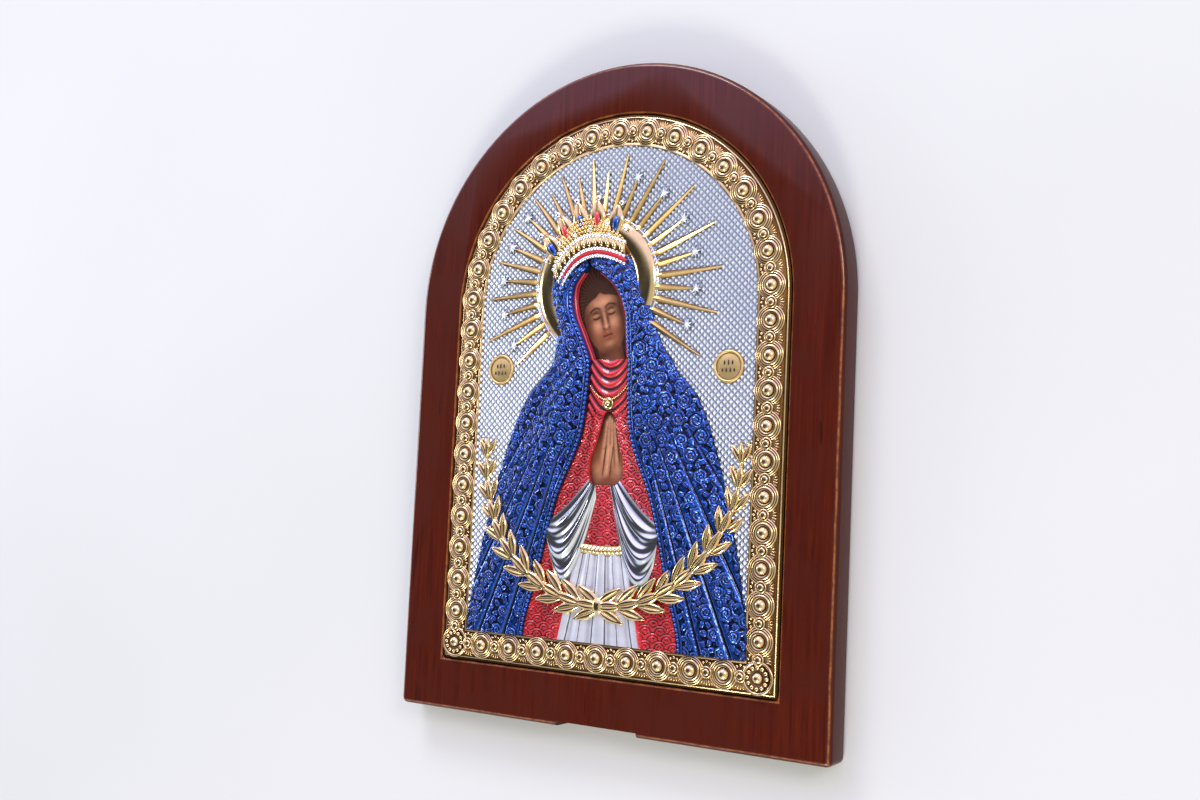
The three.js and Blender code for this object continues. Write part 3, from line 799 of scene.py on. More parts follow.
# %% Drape tool
def blurred(values, reach):
    """A box blur along both sides of a grid of values."""
    for axis in (0, 1):
        padded = np.pad(values, [(reach, reach) if k == axis else (0, 0) for k in (0, 1)], mode="edge")
        total = np.cumsum(np.insert(padded, 0, 0, axis=axis), axis=axis)
        size = values.shape[axis]
        upper = np.take(total, np.arange(size) + 2 * reach + 1, axis=axis)
        values = (upper - np.take(total, np.arange(size), axis=axis)) / (2 * reach + 1)
    return values

def drape(name, first, second, rows, columns, height, groove=0.16, reach=5, crisp=60):
    """A closed relief between two edge curves; height(s, t, x, y) is the rise above the ground."""
    clear_selection()
    bpy.ops.mesh.primitive_grid_add(x_subdivisions=columns, y_subdivisions=rows, size=1)
    piece = named(name)
    s, t = points(piece)[:, 0] + 0.5, points(piece)[:, 1] + 0.5
    start, end = np.array(first(t)), np.array(second(t))
    x, y = start + (end - start) * s
    rise = height(s, t, x, y)
    set_points(piece, np.stack([x, y, GROUND + rise], axis=1))
    mesh = rise.reshape(rows + 1, columns + 1)
    add_hollow(piece, (blurred(mesh, reach) - mesh).ravel() / groove)
    edit(piece)
    bpy.ops.mesh.region_to_loop()
    bpy.ops.mesh.extrude_region_move(TRANSFORM_OT_translate={"value": (0, 0, -1)})
    bpy.ops.mesh.edge_face_add()
    done(piece)
    at = points(piece)
    at[(rows + 1) * (columns + 1):, 2] = GROUND - 0.4
    set_points(piece, at)
    return smooth(outward(piece), crisp)

# %% [markdown]
# ## Mantle
# The mantle is one blue cloth that opens round the face and falls to both sides, so it is draped in two
# halves. A beaded hem runs along the opening, flowers cover the rest, and a few long creases fan down
# from the shoulders. The flowers are placed by a fixed seed, so every run stamps the same cloth.

# %% Mantle
FLOWER_PITCH, FLOWER_REACH = 8.2, 7
FLOWER_WIDE, FLOWER_TALL = 70, 190
CREASES = (0.315, 0.395, 0.485, 0.60)
rng = np.random.default_rng(11)

def scattered(step):
    """Flower places on a loose grid over the panel, with a turn for each."""
    spots = []
    columns = int(FLOWER_WIDE / step)
    for row in range(int(FLOWER_TALL / step)):
        for column in range(-columns, columns + 1):
            jitter = rng.uniform(-0.16, 0.16, 2) * step
            across = (column + (row % 2) / 2) * step + jitter[0]
            up = MANTLE_FOOT + 1 + row * step * 0.9 + jitter[1]
            spots.append((across, up, rng.uniform(0, 2 * math.pi), rng.uniform(0.85, 1.15)))
    return spots

FLOWERS = scattered(FLOWER_PITCH)

def embossing(x, y):
    """Height of the stamped flowers, leaves and ripples."""
    rise = 0.07 * np.sin(2.9 * x + 1.3 * np.sin(1.1 * y)) * np.sin(3.1 * y + 1.1 * np.sin(1.0 * x))
    for fx, fy, turn, size in FLOWERS:
        near = (np.abs(x - fx) < FLOWER_REACH) & (np.abs(y - fy) < FLOWER_REACH)
        if not near.any():
            continue
        dx, dy = x[near] - fx, y[near] - fy
        r, angle = np.hypot(dx, dy) / size, np.arctan2(dy, dx) + turn
        petal = r * (1 + 0.05 * np.cos(6 * angle))
        body = np.clip(1 - (petal / 3.15) ** 8, 0, 1)
        rose = body * (0.19 + 0.27 * np.cos(2 * math.pi * petal / 1.25 - angle))
        for k in range(6):
            lean = turn + k * math.pi / 3
            u = dx * math.cos(lean) + dy * math.sin(lean) - 4.6 * size
            v = -dx * math.sin(lean) + dy * math.cos(lean) + 0.14 * u * u
            inside = np.clip(1 - (u / 1.45) ** 2 - (v / (0.80 * (1 - 0.28 * u))) ** 2, 0, 1)
            blade = 0.50 * np.sqrt(inside) - 0.34 * np.exp(-(v / 0.18) ** 2) * (inside > 0)
            rose = np.maximum(rose, blade)
        rise[near] = np.maximum(rise[near], rose)
    return rise

def creases(x, y, width):
    """Long fold lines fanning down from the shoulders, 1 in their middle."""
    fan = np.abs(np.arctan2(x - NECK_X, FOLD_ORIGIN - y))
    lines = [np.exp(-((fan - at) / width) ** 2) for at in CREASES]
    return np.max(lines, axis=0) * np.clip((130 - y) / 40, 0, 1)

def mantle_part(side, name):
    def edge(half):
        def curve(t):
            y = MANTLE_FOOT + (MANTLE_TOP - MANTLE_FOOT) * t
            return centre_line(y) + side * half(y), y
        return curve
    def height(s, t, x, y):
        width = mantle_edge(y, side) - opening_half(y)
        beaded = 0.55 + 0.45 * np.cos(2 * math.pi * y / 1.9)
        inward = s * width
        hem = 0.42 * beaded * np.exp(-((inward - 1.0) / 0.42) ** 2)
        hem += 0.25 * np.exp(-((inward - 2.3) / 0.25) ** 2)
        plain = np.clip(inward - 2.6, 0, 1) * np.clip(width - inward, 0, 1)
        flowers = embossing(x, y) * (1 - 0.85 * creases(x, y, 0.016))
        flowers = flowers - 0.75 * creases(x, y, 0.006)
        return mantle_height(s, x, y) + hem + flowers * plain
    outer = edge(lambda y: mantle_edge(y, side))
    return drape(name, edge(opening_half), outer, 560, 150, height, 0.09)

plate(blue_lacquer, mantle_part(-1, "mantle_left"), mantle_part(1, "mantle_right"))

# %% [markdown]
# ## Dress
# Red lacquered cloth shows down the middle of the figure. At the neck it hangs in round cowl folds, one
# cosine of the height that is pulled down towards the middle. Below them fine engraved scales cover it.
# It is a drape between the two inner edges of the mantle, which operators alone could only approach.
# Under the skirt it lies lower, so that no red breaks through the pleats.

# %% Dress
COWL_PITCH, COWL_SAG, COWL_FOOT = 4.2, 0.09, 124.0
SCALE_WIDE, SCALE_TALL = 6.4, 3.0

def dress_edge(side):
    def curve(t):
        y = MANTLE_FOOT + (NECKLINE - MANTLE_FOOT) * t
        return centre_line(y) + side * (opening_half(y) + 0.8), y
    return curve

def dress_height(s, t, x, y):
    neck = np.clip((y - COWL_FOOT) / 8, 0, 1)
    sag = y - COWL_SAG * (x - centre_line(y)) ** 2
    cowl = 0.42 * np.cos(2 * math.pi * sag / COWL_PITCH) * neck
    shift = SCALE_WIDE / 2 * (np.floor(y / SCALE_TALL) % 2)
    scale = np.hypot((x + shift) % SCALE_WIDE - SCALE_WIDE / 2, (y % SCALE_TALL) * 1.4)
    lines = 0.20 * np.cos(2 * math.pi * scale / 1.5) * (1 - neck)
    under = (np.abs(x - NECK_X) < skirt_half(y) - 0.6) & (y < SKIRT_TOP - 0.6)
    return HEM + 0.35 * np.cos(8 * math.pi * s) * (1 - neck) + cowl + lines - 0.6 * under

dress = drape("dress", dress_edge(-1), dress_edge(1), 300, 150, dress_height, 0.12)
print("dress draped over", round(NECKLINE - MANTLE_FOOT), "mm")

# %% [markdown]
# ## Opening for the hands
# The sheet is cut away where the painted hands show. The outline is a few bows drawn for one side and
# mirrored. A prism on it cuts the dress and both sleeves with booleans, so all three share one clean
# edge.

# %% Opening for the hands
WRIST, PALM, KNUCKLE, FINGERTIP = (5.6, 98), (8.2, 105), (6.6, 112), (2.7, 126)

def bow(start, control, end, count=14):
    """Points along a quadratic curve, without its end."""
    t = np.arange(count)[:, None] / count
    return (1 - t) ** 2 * np.array(start) + 2 * t * (1 - t) * np.array(control) + t * t * np.array(end)

def hands_cutter(name):
    """A prism on the outline of the joined hands, right side up and left side down."""
    bows = [bow(WRIST, (8.4, 100), PALM), bow(PALM, (8.2, 110), KNUCKLE),
            bow(KNUCKLE, (4.2, 120), FINGERTIP)]
    right = np.concatenate([*bows, [FINGERTIP, (1.6, 127.6), (0.4, 128.0)]])
    loop = np.concatenate([right, right[::-1] * (-1, 1)]) + (NECK_X, 0)
    clear_selection()
    bpy.ops.mesh.primitive_circle_add(vertices=len(loop), fill_type="NGON")
    piece = named(name)
    set_points(piece, np.column_stack([loop, np.full(len(loop), GROUND - 2)]))
    return outward(thicken(piece, 8))

cut(dress, hands_cutter("hands_window"))
plate(red_lacquer, dress)

# %% [markdown]
# ## Sleeves
# Wide sleeves of polished silver hang from the wrists. Each is draped between an upper edge, from elbow
# to wrist, and a lower edge that sags. Round swags lie across it and die away towards its edges, so the
# edges stay smooth.

# %% Sleeves
def sleeve_part(side, name):
    def upper(t):
        return side * (27 - 23.5 * t) + NECK_X, 83 + 22 * t ** 1.4
    def lower(t):
        return side * (25 - 21.5 * t) + NECK_X, 70 + 23 * t * t - 16 * np.sin(math.pi * t ** 0.85)
    def height(s, t, x, y):
        body = np.sin(math.pi * (0.12 + 0.8 * s)) * (0.75 + 0.5 * np.sin(math.pi * t))
        swag = np.cos(6 * math.pi * s + 2.2 * np.sin(math.pi * t))
        swag = swag + 0.45 * np.cos(14 * math.pi * s - 3 * t)
        rim = np.clip(5 * np.minimum(s, 1 - s), 0, 1)
        fade = rim * rim * (3 - 2 * rim) * np.sin(math.pi * t)
        return HEM + 0.4 + 1.9 * body + 0.48 * swag * fade * (upper(t)[1] - lower(t)[1]) / 26
    piece = drape(name, upper, lower, 110, 110, height, 0.5, 8, 30)
    return cut(piece, hands_cutter(name + "_window"))

sleeves = joined([sleeve_part(-1, "sleeve_left"), sleeve_part(1, "sleeve_right")], "sleeves")
plate(polished_silver, sleeves)

# %% [markdown]
# ## Underskirt and girdle
# A whitish pleated underskirt falls below the sleeves, with an engraved line in each pleat. A gilt girdle
# of round beads closes its upper edge. Both are drapes too, wide and low, so their pleats and beads are
# cosines across them.

# %% Underskirt and girdle
def skirt_edge(side):
    def curve(t):
        y = MANTLE_FOOT + (SKIRT_TOP - MANTLE_FOOT) * t
        return NECK_X + side * skirt_half(y), y
    return curve

def skirt_height(s, t, x, y):
    line = np.exp(-(((s * 6 + 0.6 * t * (s - 0.5)) % 1 - 0.5) / 0.045) ** 2)
    return 1.6 + 0.4 * np.cos(8 * math.pi * s) - 0.3 * line

def girdle_edge(up):
    return lambda t: (NECK_X + 15.5 * (2 * t - 1), up - 1.8 * (1 - (2 * t - 1) ** 2))

def girdle_height(s, t, x, y):
    beads = np.abs(np.sin(17 * math.pi * t)) * np.sin(math.pi * s) ** 2
    return 1.5 + 0.7 * np.sin(math.pi * s) + 0.45 * beads

plate(white_satin, drape("underskirt", skirt_edge(-1), skirt_edge(1), 60, 180, skirt_height, 0.12))
girdle_foot, girdle_top = girdle_edge(SKIRT_TOP - 1.4), girdle_edge(SKIRT_TOP + 2.6)
girdle = drape("girdle", girdle_foot, girdle_top, 200, 20, girdle_height, 0.14, 4, 40)
plate(polished_gold, girdle)

# %% [markdown]
# ## Veil lining
# The red lining of the veil shows as a narrow rolled edge round the face. It follows the opening of the
# mantle at a small step inwards on each side.

# %% Veil lining
LINING_TOP = 185

def lining_edge(side, inward):
    def curve(t):
        y = NECKLINE + (LINING_TOP - NECKLINE) * t
        return centre_line(y) + side * (opening_half(y) + inward), y
    return curve

def lining_height(s, t, x, y):
    return 0.25 + 0.75 * s + 0.12 * np.cos(4 * math.pi * s)

def lining_part(side):
    inner, outer = lining_edge(side, -1.5), lining_edge(side, 0.8)
    return drape("lining", inner, outer, 140, 12, lining_height, 0.1, 3)

plate(red_lacquer, joined([lining_part(-1), lining_part(1)], "veil_lining"))

# %% [markdown]
# ## Halo
# A polished gilt ring stands behind the head, with a thin silver bead outside it. Each is a torus pressed
# flat. What the mantle hides is taken away, so that nothing crosses the opening for the face, and the
# open ends are filled.

# %% Halo
HALO_X, HALO_Y = -8.0, 180.0

def ring(name, radius, thick, flat, segments=120, sides=16):
    clear_selection()
    bpy.ops.mesh.primitive_torus_add(major_radius=radius, minor_radius=thick, major_segments=segments,
                                     minor_segments=sides)
    piece = named(name)
    piece.scale = (1, 1, flat / thick)
    piece.location = (HALO_X, HALO_Y, GROUND)
    return smooth(apply_all(piece), 80)

def behind_head(c):
    covered = np.abs(c[:, 0] - centre_line(c[:, 1])) < mantle_half(c[:, 1]) - 4
    return covered & (c[:, 1] < MANTLE_TOP - 4)

def open_behind_head(piece):
    """Takes away what the mantle hides and closes the ends."""
    edit(piece)
    select_faces(piece, behind_head)
    bpy.ops.mesh.delete(type="FACE")
    bpy.ops.mesh.select_all(action="DESELECT")
    bpy.ops.mesh.select_mode(type="EDGE")
    bpy.ops.mesh.select_non_manifold()
    bpy.ops.mesh.fill_holes(sides=0)
    return outward(done(piece))

halo = joined([ring("halo_body", 23.6, 5.0, 2.0), ring("halo_lip", 18.2, 0.6, 1.3, 96, 8)], "halo")
plate(polished_gold, open_behind_head(halo))
plate(polished_silver, open_behind_head(ring("halo_rim", 29.0, 0.75, 1.1, 140, 10)))

# %% [markdown]
# ## Rays
# Straight gilt rays spread from the halo, long and short in turn. One ray is a four-sided cone laid down
# with an edge up and narrowed at its root. Its long sides are marked as hollow, so that it is outlined
# by patina. Copies are stretched to their length, and none runs into the border or a medallion.

# %% Rays
RAY_LIFT = 0.5
RAY_COUNT = 40
RAY_ROOT, RAY_LONG, RAY_SHORT = 28.5, 58.0, 47.0
MEDAL_X, MEDAL_Y, MEDAL_RADIUS = 54.0, 145.5, 6.5

clear_selection()
bpy.ops.mesh.primitive_cone_add(vertices=4, radius1=1.7, radius2=0.5, depth=1)
ray = named("ray")
ray.rotation_euler = (0, math.pi / 2, 0)
apply_all(ray)
ray.location = (0.5, 0, 0)
ray.scale = (1, 1, 0.85)
apply_all(ray)
edit(ray)
bpy.ops.mesh.bisect(plane_co=(0.1, 0, 0), plane_no=(1, 0, 0))
done(ray)
at = points(ray)
at[at[:, 0] < 0.05, 1:] *= 0.6
set_points(ray, at)
add_hollow(ray, 0.85 * (np.abs(points(ray)[:, 1]) > 0.1))

def on_ray(angle, distance):
    return HALO_X + distance * math.cos(angle), HALO_Y + distance * math.sin(angle)

def ray_reach(angle, wanted):
    """The wanted length, or less where the border or a medallion is nearer."""
    ahead = np.arange(RAY_ROOT, wanted, 0.25)
    x, y = on_ray(angle, ahead)
    inside = np.hypot(x, np.maximum(y - SPRING_HEIGHT, 0)) < FIELD_HALF - 3.2
    inside &= np.hypot(np.abs(x) - MEDAL_X, y - MEDAL_Y) > MEDAL_RADIUS + 2
    return float(ahead[np.cumprod(inside) > 0][-1])

ray_tips = []
for k in range(RAY_COUNT):
    angle = 2 * math.pi * (k + 0.5) / RAY_COUNT
    if math.sin(angle) > -0.72:
        ray_tips.append((angle, ray_reach(angle, RAY_SHORT if k % 2 else RAY_LONG), k % 2))
ray_places = [place(*on_ray(angle, RAY_ROOT), GROUND + RAY_LIFT, angle, (tip - RAY_ROOT, 1, 1))
              for angle, tip, _ in ray_tips]
plate(satin_gold, outward(copies(ray, ray_places, "rays")))

# %% [markdown]
# ## Stars
# A small silver star ends each short ray that stays clear of the mantle. A disc of sixteen corners
# becomes a star when every second corner is drawn in, and poking its face raises the middle.

# %% Stars
clear_selection()
bpy.ops.mesh.primitive_circle_add(vertices=16, radius=2.8, fill_type="NGON")
star = named("star")
tips = points(star)
tips[1::2] *= 0.42
set_points(star, tips)
edit(star)
bpy.ops.mesh.extrude_region_move(TRANSFORM_OT_translate={"value": (0, 0, 0.7)})
bpy.ops.mesh.poke(offset=0.8)
done(star)
add_hollow(star, 1.2 - points(star)[:, 2])

star_places = []
for angle, tip, short in ray_tips:
    x, y = on_ray(angle, tip)
    if short and abs(x - float(centre_line(y))) > float(mantle_half(y)) + 3:
        star_places.append(place(x, y, GROUND + RAY_LIFT, angle))
plate(bright_silver, outward(copies(star, star_places, "stars")))

# %% [markdown]
# ## Laurel branches
# Two gilt branches start at a tie below the hands and curve up to both sides. One leaf is a sphere drawn
# out to two points with a crease along the middle. Leaves sit in threes on the cloth, smaller towards the
# tips, on a stem that is draped over the same heights, with berries between.

# %% Laurel leaves
WREATH_CENTRE, WREATH_RADIUS = 110.0, 60.0
WREATH_SWEEP = math.radians(96)
WREATH_STEPS = 11

clear_selection()
bpy.ops.mesh.primitive_uv_sphere_add(segments=16, ring_count=10, radius=1, rotation=(0, math.pi / 2, 0))
leaf = named("leaf")
apply_all(leaf)
at = points(leaf)
across = at[:, 1] * (1 - 0.55 * np.abs(at[:, 0]) ** 1.6)
crease = 1 - 0.6 * np.exp(-(across / 0.16) ** 2)
set_points(leaf, np.stack([6.9 * at[:, 0], 2.45 * across, 1.3 * at[:, 2] * crease], axis=1))
add_hollow(leaf, 0.75 * np.exp(-(across / 0.13) ** 2))
smooth(leaf, 70)

def on_wreath(angle, row):
    radius = WREATH_RADIUS + row
    return radius * math.sin(angle) + NECK_X, WREATH_CENTRE - radius * math.cos(angle)

def cloth_top(x, y):
    return GROUND + float(figure_height(np.array([x]), np.array([y]))[0])

leaf_places, berry_places = [], []
for side in (-1, 1):
    for k in range(WREATH_STEPS):
        share = (k + 0.55) / WREATH_STEPS
        angle = side * WREATH_SWEEP * share
        size = 1 - 0.42 * share ** 2
        for row in (-1, 0, 1):
            x, y = on_wreath(angle, row * 3.7 * size)
            heading = angle + (0 if side > 0 else math.pi) - side * row * 0.48
            rise = cloth_top(x, y) + (0.75 if row == 0 else 0.35)
            leaf_places.append(place(x, y, min(rise, 7.65), heading, (size, size, 1)))
        x, y = on_wreath(angle + side * 0.055, -4.6 * size if k % 2 else 4.6 * size)
        berry_places.append(place(x, y, min(cloth_top(x, y) + 0.4, 8.0), 0, (0.8, 0.8, 0.8)))
leaves = copies(leaf, leaf_places, "leaves", keep=True)
print(len(leaf_places), "leaves and", len(berry_places), "berries")

# %% Tie, stem and berries
KNOT_RADIUS = 3.4

clear_selection()
bpy.ops.mesh.primitive_uv_sphere_add(segments=24, ring_count=12, radius=KNOT_RADIUS)
knot = named("tie")
at = points(knot)
at[:, 0] *= 0.72 + 0.28 * np.abs(at[:, 1] / KNOT_RADIUS)
at[:, 2] *= 0.5
set_points(knot, at + (NECK_X, WREATH_CENTRE - WREATH_RADIUS, GROUND + 2.2))
smooth(knot, 70)

def stem_edge(offset):
    def curve(t):
        angle = WREATH_SWEEP * (2 * t - 1)
        radius = WREATH_RADIUS + offset * (2 - 1.5 * (2 * t - 1) ** 2)
        return NECK_X + radius * np.sin(angle), WREATH_CENTRE - radius * np.cos(angle)
    return curve

def stem_height(s, t, x, y):
    return figure_height(x, y) + 0.2 + 0.9 * np.sqrt(np.clip(1 - (2 * s - 1) ** 2, 0, 1))

clear_selection()
bpy.ops.mesh.primitive_uv_sphere_add(segments=10, ring_count=6, radius=1)
pearl = smooth(flat_foot(named("pearl"), -0.7), 80)
add_hollow(pearl, 0.2 - points(pearl)[:, 2])

stem = drape("stem", stem_edge(-1), stem_edge(1), 160, 10, stem_height, 0.3, 2)
plate(polished_gold, outward(joined([leaves, knot, stem], "laurel_branches")))
plate(polished_gold, outward(copies(pearl, berry_places, "berries", keep=True)))

# %% [markdown]
# ## Crown
# The crown leans with the head. A curved band, edged with two rows of pearls round a strip of red,
# carries a gilt cap of granules and five leaf-shaped points, each with a drop of enamel and a pearl. All
# of it is drawn upright about the neck and then leaned with one rotation, which keeps its numbers simple.

# %% Crown bands
ARCH = 8.2
FALL = 0.75
BAND_HALF = 18.0

def leaned(piece):
    """Turns a piece drawn about the neck to the lean of the head."""
    piece.data.transform(Matrix.Translation((NECK_X, NECK_Y, 0)) @ Matrix.Rotation(HEAD_TILT, 4, "Z"))
    return piece

def crown_arc(up, half, arch=ARCH):
    """A shallow arch across the crown at a height above the neck."""
    return lambda t: (half * (2 * t - 1), up + arch * (1 - (2 * t - 1) ** 2))

def crown_rise(t, top):
    """The crown is round, so it stands lower at its two ends."""
    return top * np.sqrt(1 - FALL * (2 * t - 1) ** 2)

def band(name, low, high, top, rows=90, columns=16, extra=None):
    def height(s, t, x, y):
        return crown_rise(t, top) + 0.35 * np.sin(math.pi * s) + (extra(s, t) if extra else 0)
    return leaned(drape(name, low, high, rows, columns, height, 0.12, 4))

def gadroons(s, t):
    return 0.3 * np.abs(np.sin(11 * math.pi * t)) * np.sin(math.pi * s)

red_band = band("crown_red", crown_arc(36.4, 16.4), crown_arc(39.4, 16.8), 3.3)
gold_band = band("crown_band", crown_arc(39.3, 17.0), crown_arc(45.0, BAND_HALF), 3.7, 180, 26, gadroons)
cap = band("crown_cap", crown_arc(44.8, 18.4, 7.6), crown_arc(53.0, 14.5, 8.6), 2.6, 120, 30)
print("crown band", round(2 * BAND_HALF), "mm wide")

# %% Pearls, jewels and granules of the crown
def row_of(count, curve, top, size, name):
    """Pearls of one (x, y, z) size along an arc of the crown."""
    spots = []
    for k in range(count):
        t = (k + 0.5) / count
        spots.append(place(*curve(t), GROUND + float(crown_rise(t, top)), 0, size))
    return leaned(copies(pearl, spots, name, keep=True))

pearl_rows = []
for k, (up, half, size) in enumerate([(36.2, 16.2, 0.85), (39.4, 16.9, 0.85), (45.0, 18.2, 0.95)]):
    pearl_rows.append(row_of(26, crown_arc(up, half), 3.6, (size, size, size), f"pearl_row_{k}"))
grains = []
for k in range(5):
    arc = crown_arc(46.6 + 1.45 * k, 17.8 - 0.75 * k, 7.7 + 0.2 * k)
    grains.append(row_of(24 - k, arc, 3.0, (0.72, 0.72, 0.72), f"grain_row_{k}"))
jewels = row_of(13, crown_arc(42.2, 17.4), 3.9, (0.95, 1.9, 0.9), "crown_jewels")
print(len(pearl_rows), "rows of pearls and", len(grains), "of granules")

# %% Points of the crown
POINT_PITCH, POINT_FAN = 8.0, 0.2

leaf_tips, blue_drops, red_drops, pearl_tips = [], [], [], []
for k in range(-2, 3):
    x, up, fan = POINT_PITCH * k, 58 - 1.6 * k * k, POINT_FAN * k
    upright = math.pi / 2 - fan
    leaf_tips.append(place(x, up + 4.0, GROUND + 1.7, upright, (1.12 - 0.07 * abs(k), 1.62, 1.2)))
    colour_drops = red_drops if k % 2 else blue_drops
    colour_drops.append(place(x, up + 2.6, GROUND + 2.6, upright, (3.3, 1.55, 1.0)))
    out = 12.0 - 0.5 * abs(k)
    tip = (x + out * math.sin(fan), up + out * math.cos(fan))
    pearl_tips.append(place(*tip, GROUND + 1.6, 0, (1.4, 1.4, 1.2)))
    for side in (-1, 1):
        pearl_tips.append(place(x + side * 4.0, up - 1.2, GROUND + 2.6, 0, (1.1, 1.1, 1.0)))
crown_leaves = leaned(copies(leaf, leaf_tips, "crown_leaves"))
tips = leaned(copies(pearl, pearl_tips, "crown_tips", keep=True))
blue = leaned(copies(pearl, blue_drops, "crown_blue", keep=True))
red = leaned(copies(pearl, red_drops, "crown_red_drops", keep=True))
plate(polished_gold, outward(joined([gold_band, cap, jewels, crown_leaves, *grains], "crown_gold")))
plate(polished_silver, outward(joined([*pearl_rows, tips], "crown_pearls")))
plate(blue_lacquer, outward(blue))
plate(red_lacquer, outward(joined([red_band, red], "crown_red")))

# %% [markdown]
# ## Medallions and chain
# Two small round medallions lie on the ground beside the head, each with a raised rim and two rows of
# short dark strokes. A chain of fine beads crosses the breast, with a round brooch over the neck. The
# boss tool turns the medallions and the brooch, and the drop tool makes the strokes.

# %% Medallions
FIELD = [(0.2, 0.0, 0.6), (0.6, 0.12, 0.0), (1.6, 0.20, 0.0), (1.6, 0.08, 0.0)]
STROKE_ROWS = [(1.45, (1.9, 2.3, 1.9)), (-1.45, (1.6, 2.1, 2.1, 1.6))]
STROKE_PITCH = 1.7

medal = turned_boss("medal", MEDAL_RADIUS, 40, ROLL + FIELD)
stroke_places = []
for side in (-1, 1):
    for up, lengths in STROKE_ROWS:
        for k, length in enumerate(lengths):
            x = side * MEDAL_X + (k - (len(lengths) - 1) / 2) * STROKE_PITCH
            stroke_places.append(place(x, MEDAL_Y + up, GROUND + 0.9, math.pi / 2, (length, 0.7, 0.6)))
medal_places = [place(side * MEDAL_X, MEDAL_Y, GROUND) for side in (-1, 1)]
plate(soft_gold, outward(copies(medal, medal_places, "medallions")))
plate(dark_enamel, outward(copies(drop("dash", (0.5, 0.5, 0.5)), stroke_places, "medallion_strokes")))

# %% Chain
CHAIN_FOOT, CHAIN_PITCH, CHAIN_SAG = 132.5, 0.72, 0.075

bead_places = []
for k in range(-13, 14):
    x = CHAIN_PITCH * k
    y = CHAIN_FOOT + CHAIN_SAG * x * x
    bead_places.append(place(NECK_X + x, y, GROUND + 1.75, 0, (0.42, 0.42, 0.42)))
beads = copies(pearl, bead_places, "chain_beads")
brooch = turned_boss("brooch", 2.6, 24, ROLL + DOME[:3])
brooch = copies(brooch, [place(NECK_X, CHAIN_FOOT - 1.5, GROUND + 1.0)], "brooch")
plate(polished_gold, outward(joined([beads, brooch], "chain")))

# %% [markdown]
# ## Painted picture
# Under the metal lies a thin wooden panel with a painted ground. The metal is cut away over the face and
# the hands, so only those show. The colour of paint is stored on the vertices of a fine grid, because
# brush-soft changes of tone need no picture file that way. Each feature is a soft shape in millimetres,
# laid over the ones before it as a painter would do it: ground, flesh, shadows, lights, then dark lines.

# %% Paint tools
PAINT_TOP = 3.2

def cover(amount, below, colour):
    """Lays a colour over the paint below, by an amount from 0 to 1 at each point."""
    return below + (np.array(colour) - below) * np.clip(amount, 0, 1)[:, None]

def spot(x, y, at, size, soft=1.0):
    """A soft round or oval spot, 1 in its middle."""
    return np.exp(-(((x - at[0]) / size[0]) ** 2 + ((y - at[1]) / size[1]) ** 2) ** soft)

def line(x, y, knots, width):
    """A soft stroke along a smooth curve y(x) through knots, thinning at its ends."""
    curve = through(knots)
    first, last = knots[0][0], knots[-1][0]
    inside = np.clip((x - first) / 0.7, 0, 1) * np.clip((last - x) / 0.7, 0, 1)
    return np.exp(-((y - curve(x)) / width) ** 2) * inside

def paint_grid(name, low, high, step):
    clear_selection()
    wide, tall = high[0] - low[0], high[1] - low[1]
    columns, rows = round(wide / step), round(tall / step)
    bpy.ops.mesh.primitive_grid_add(x_subdivisions=columns, y_subdivisions=rows, size=1)
    piece = named(name)
    at = points(piece)
    at[:, 0] = low[0] + (at[:, 0] + 0.5) * wide
    at[:, 1] = low[1] + (at[:, 1] + 0.5) * tall
    at[:, 2] = PAINT_TOP
    set_points(piece, at)
    return piece, at[:, 0], at[:, 1]

def add_paint(piece, colours):
    layer = piece.data.attributes.new("paint", "FLOAT_COLOR", "POINT")
    opaque = np.append(colours, np.ones((len(colours), 1)), axis=1)
    layer.data.foreach_set("color", opaque.astype(np.float32).ravel())

EARTH = (0.030, 0.011, 0.006)
FLESH = (0.27, 0.092, 0.038)
LIGHT = (0.68, 0.32, 0.165)
SHADE = (0.060, 0.018, 0.008)
INK = (0.008, 0.003, 0.002)
ROSE = (0.36, 0.050, 0.032)
HAIR = (0.085, 0.032, 0.014)

print("paint lies", PAINT_TOP, "mm above the floor of the pocket")

# %% [markdown]
# ## Face
# The face is a plain, calm one with lowered eyes, set out by the usual proportions: the eyes halfway down
# the head, the nose halfway from there to the chin and the mouth a third below it. It is painted upright
# in its own (u, v) and leaned with the head.

# %% Face: ground, hair and flesh
HEAD_X, HEAD_Y = -4.0, 166.0

face, x, y = paint_grid("face_paint", (-22, 144), (13, 191), 0.2)
lean_cos, lean_sin = math.cos(HEAD_TILT), math.sin(HEAD_TILT)
u = (x - HEAD_X) * lean_cos + (y - HEAD_Y) * lean_sin
v = -(x - HEAD_X) * lean_sin + (y - HEAD_Y) * lean_cos
paint = np.tile(np.array(EARTH), (len(x), 1))
half = 9.6 * np.sqrt(np.clip(1 - (np.where(v > 0, v / 13.5, v / 15.0)) ** 2, 0, 1))
flesh = np.clip((half - np.abs(u)) / 1.0, 0, 1)
neck = np.clip((6.0 - np.abs(u + 0.3)) / 1.5, 0, 1) * np.clip((-8 - v) / 2, 0, 1)
strand = 0.5 + 0.5 * np.cos(2 * math.pi * np.arctan2(v - 9, np.abs(u) + 0.4) * 7 + 0.6 * np.sin(v))
paint = cover(0.75 * strand * (v > 2), paint, HAIR)
paint = cover(neck, paint, FLESH)
paint = cover(0.7 * neck * np.clip((np.abs(u) - 2) / 4, 0, 1), paint, SHADE)
paint = cover(0.6 * neck * np.exp(-((v + 14.5) / 1.8) ** 2), paint, SHADE)
hairline = 10.3 - 0.045 * u * u + 1.2 * np.exp(-(u / 1.4) ** 2)
flesh = flesh * np.clip((hairline - v) / 0.8, 0, 1)
paint = cover(flesh, paint, FLESH)
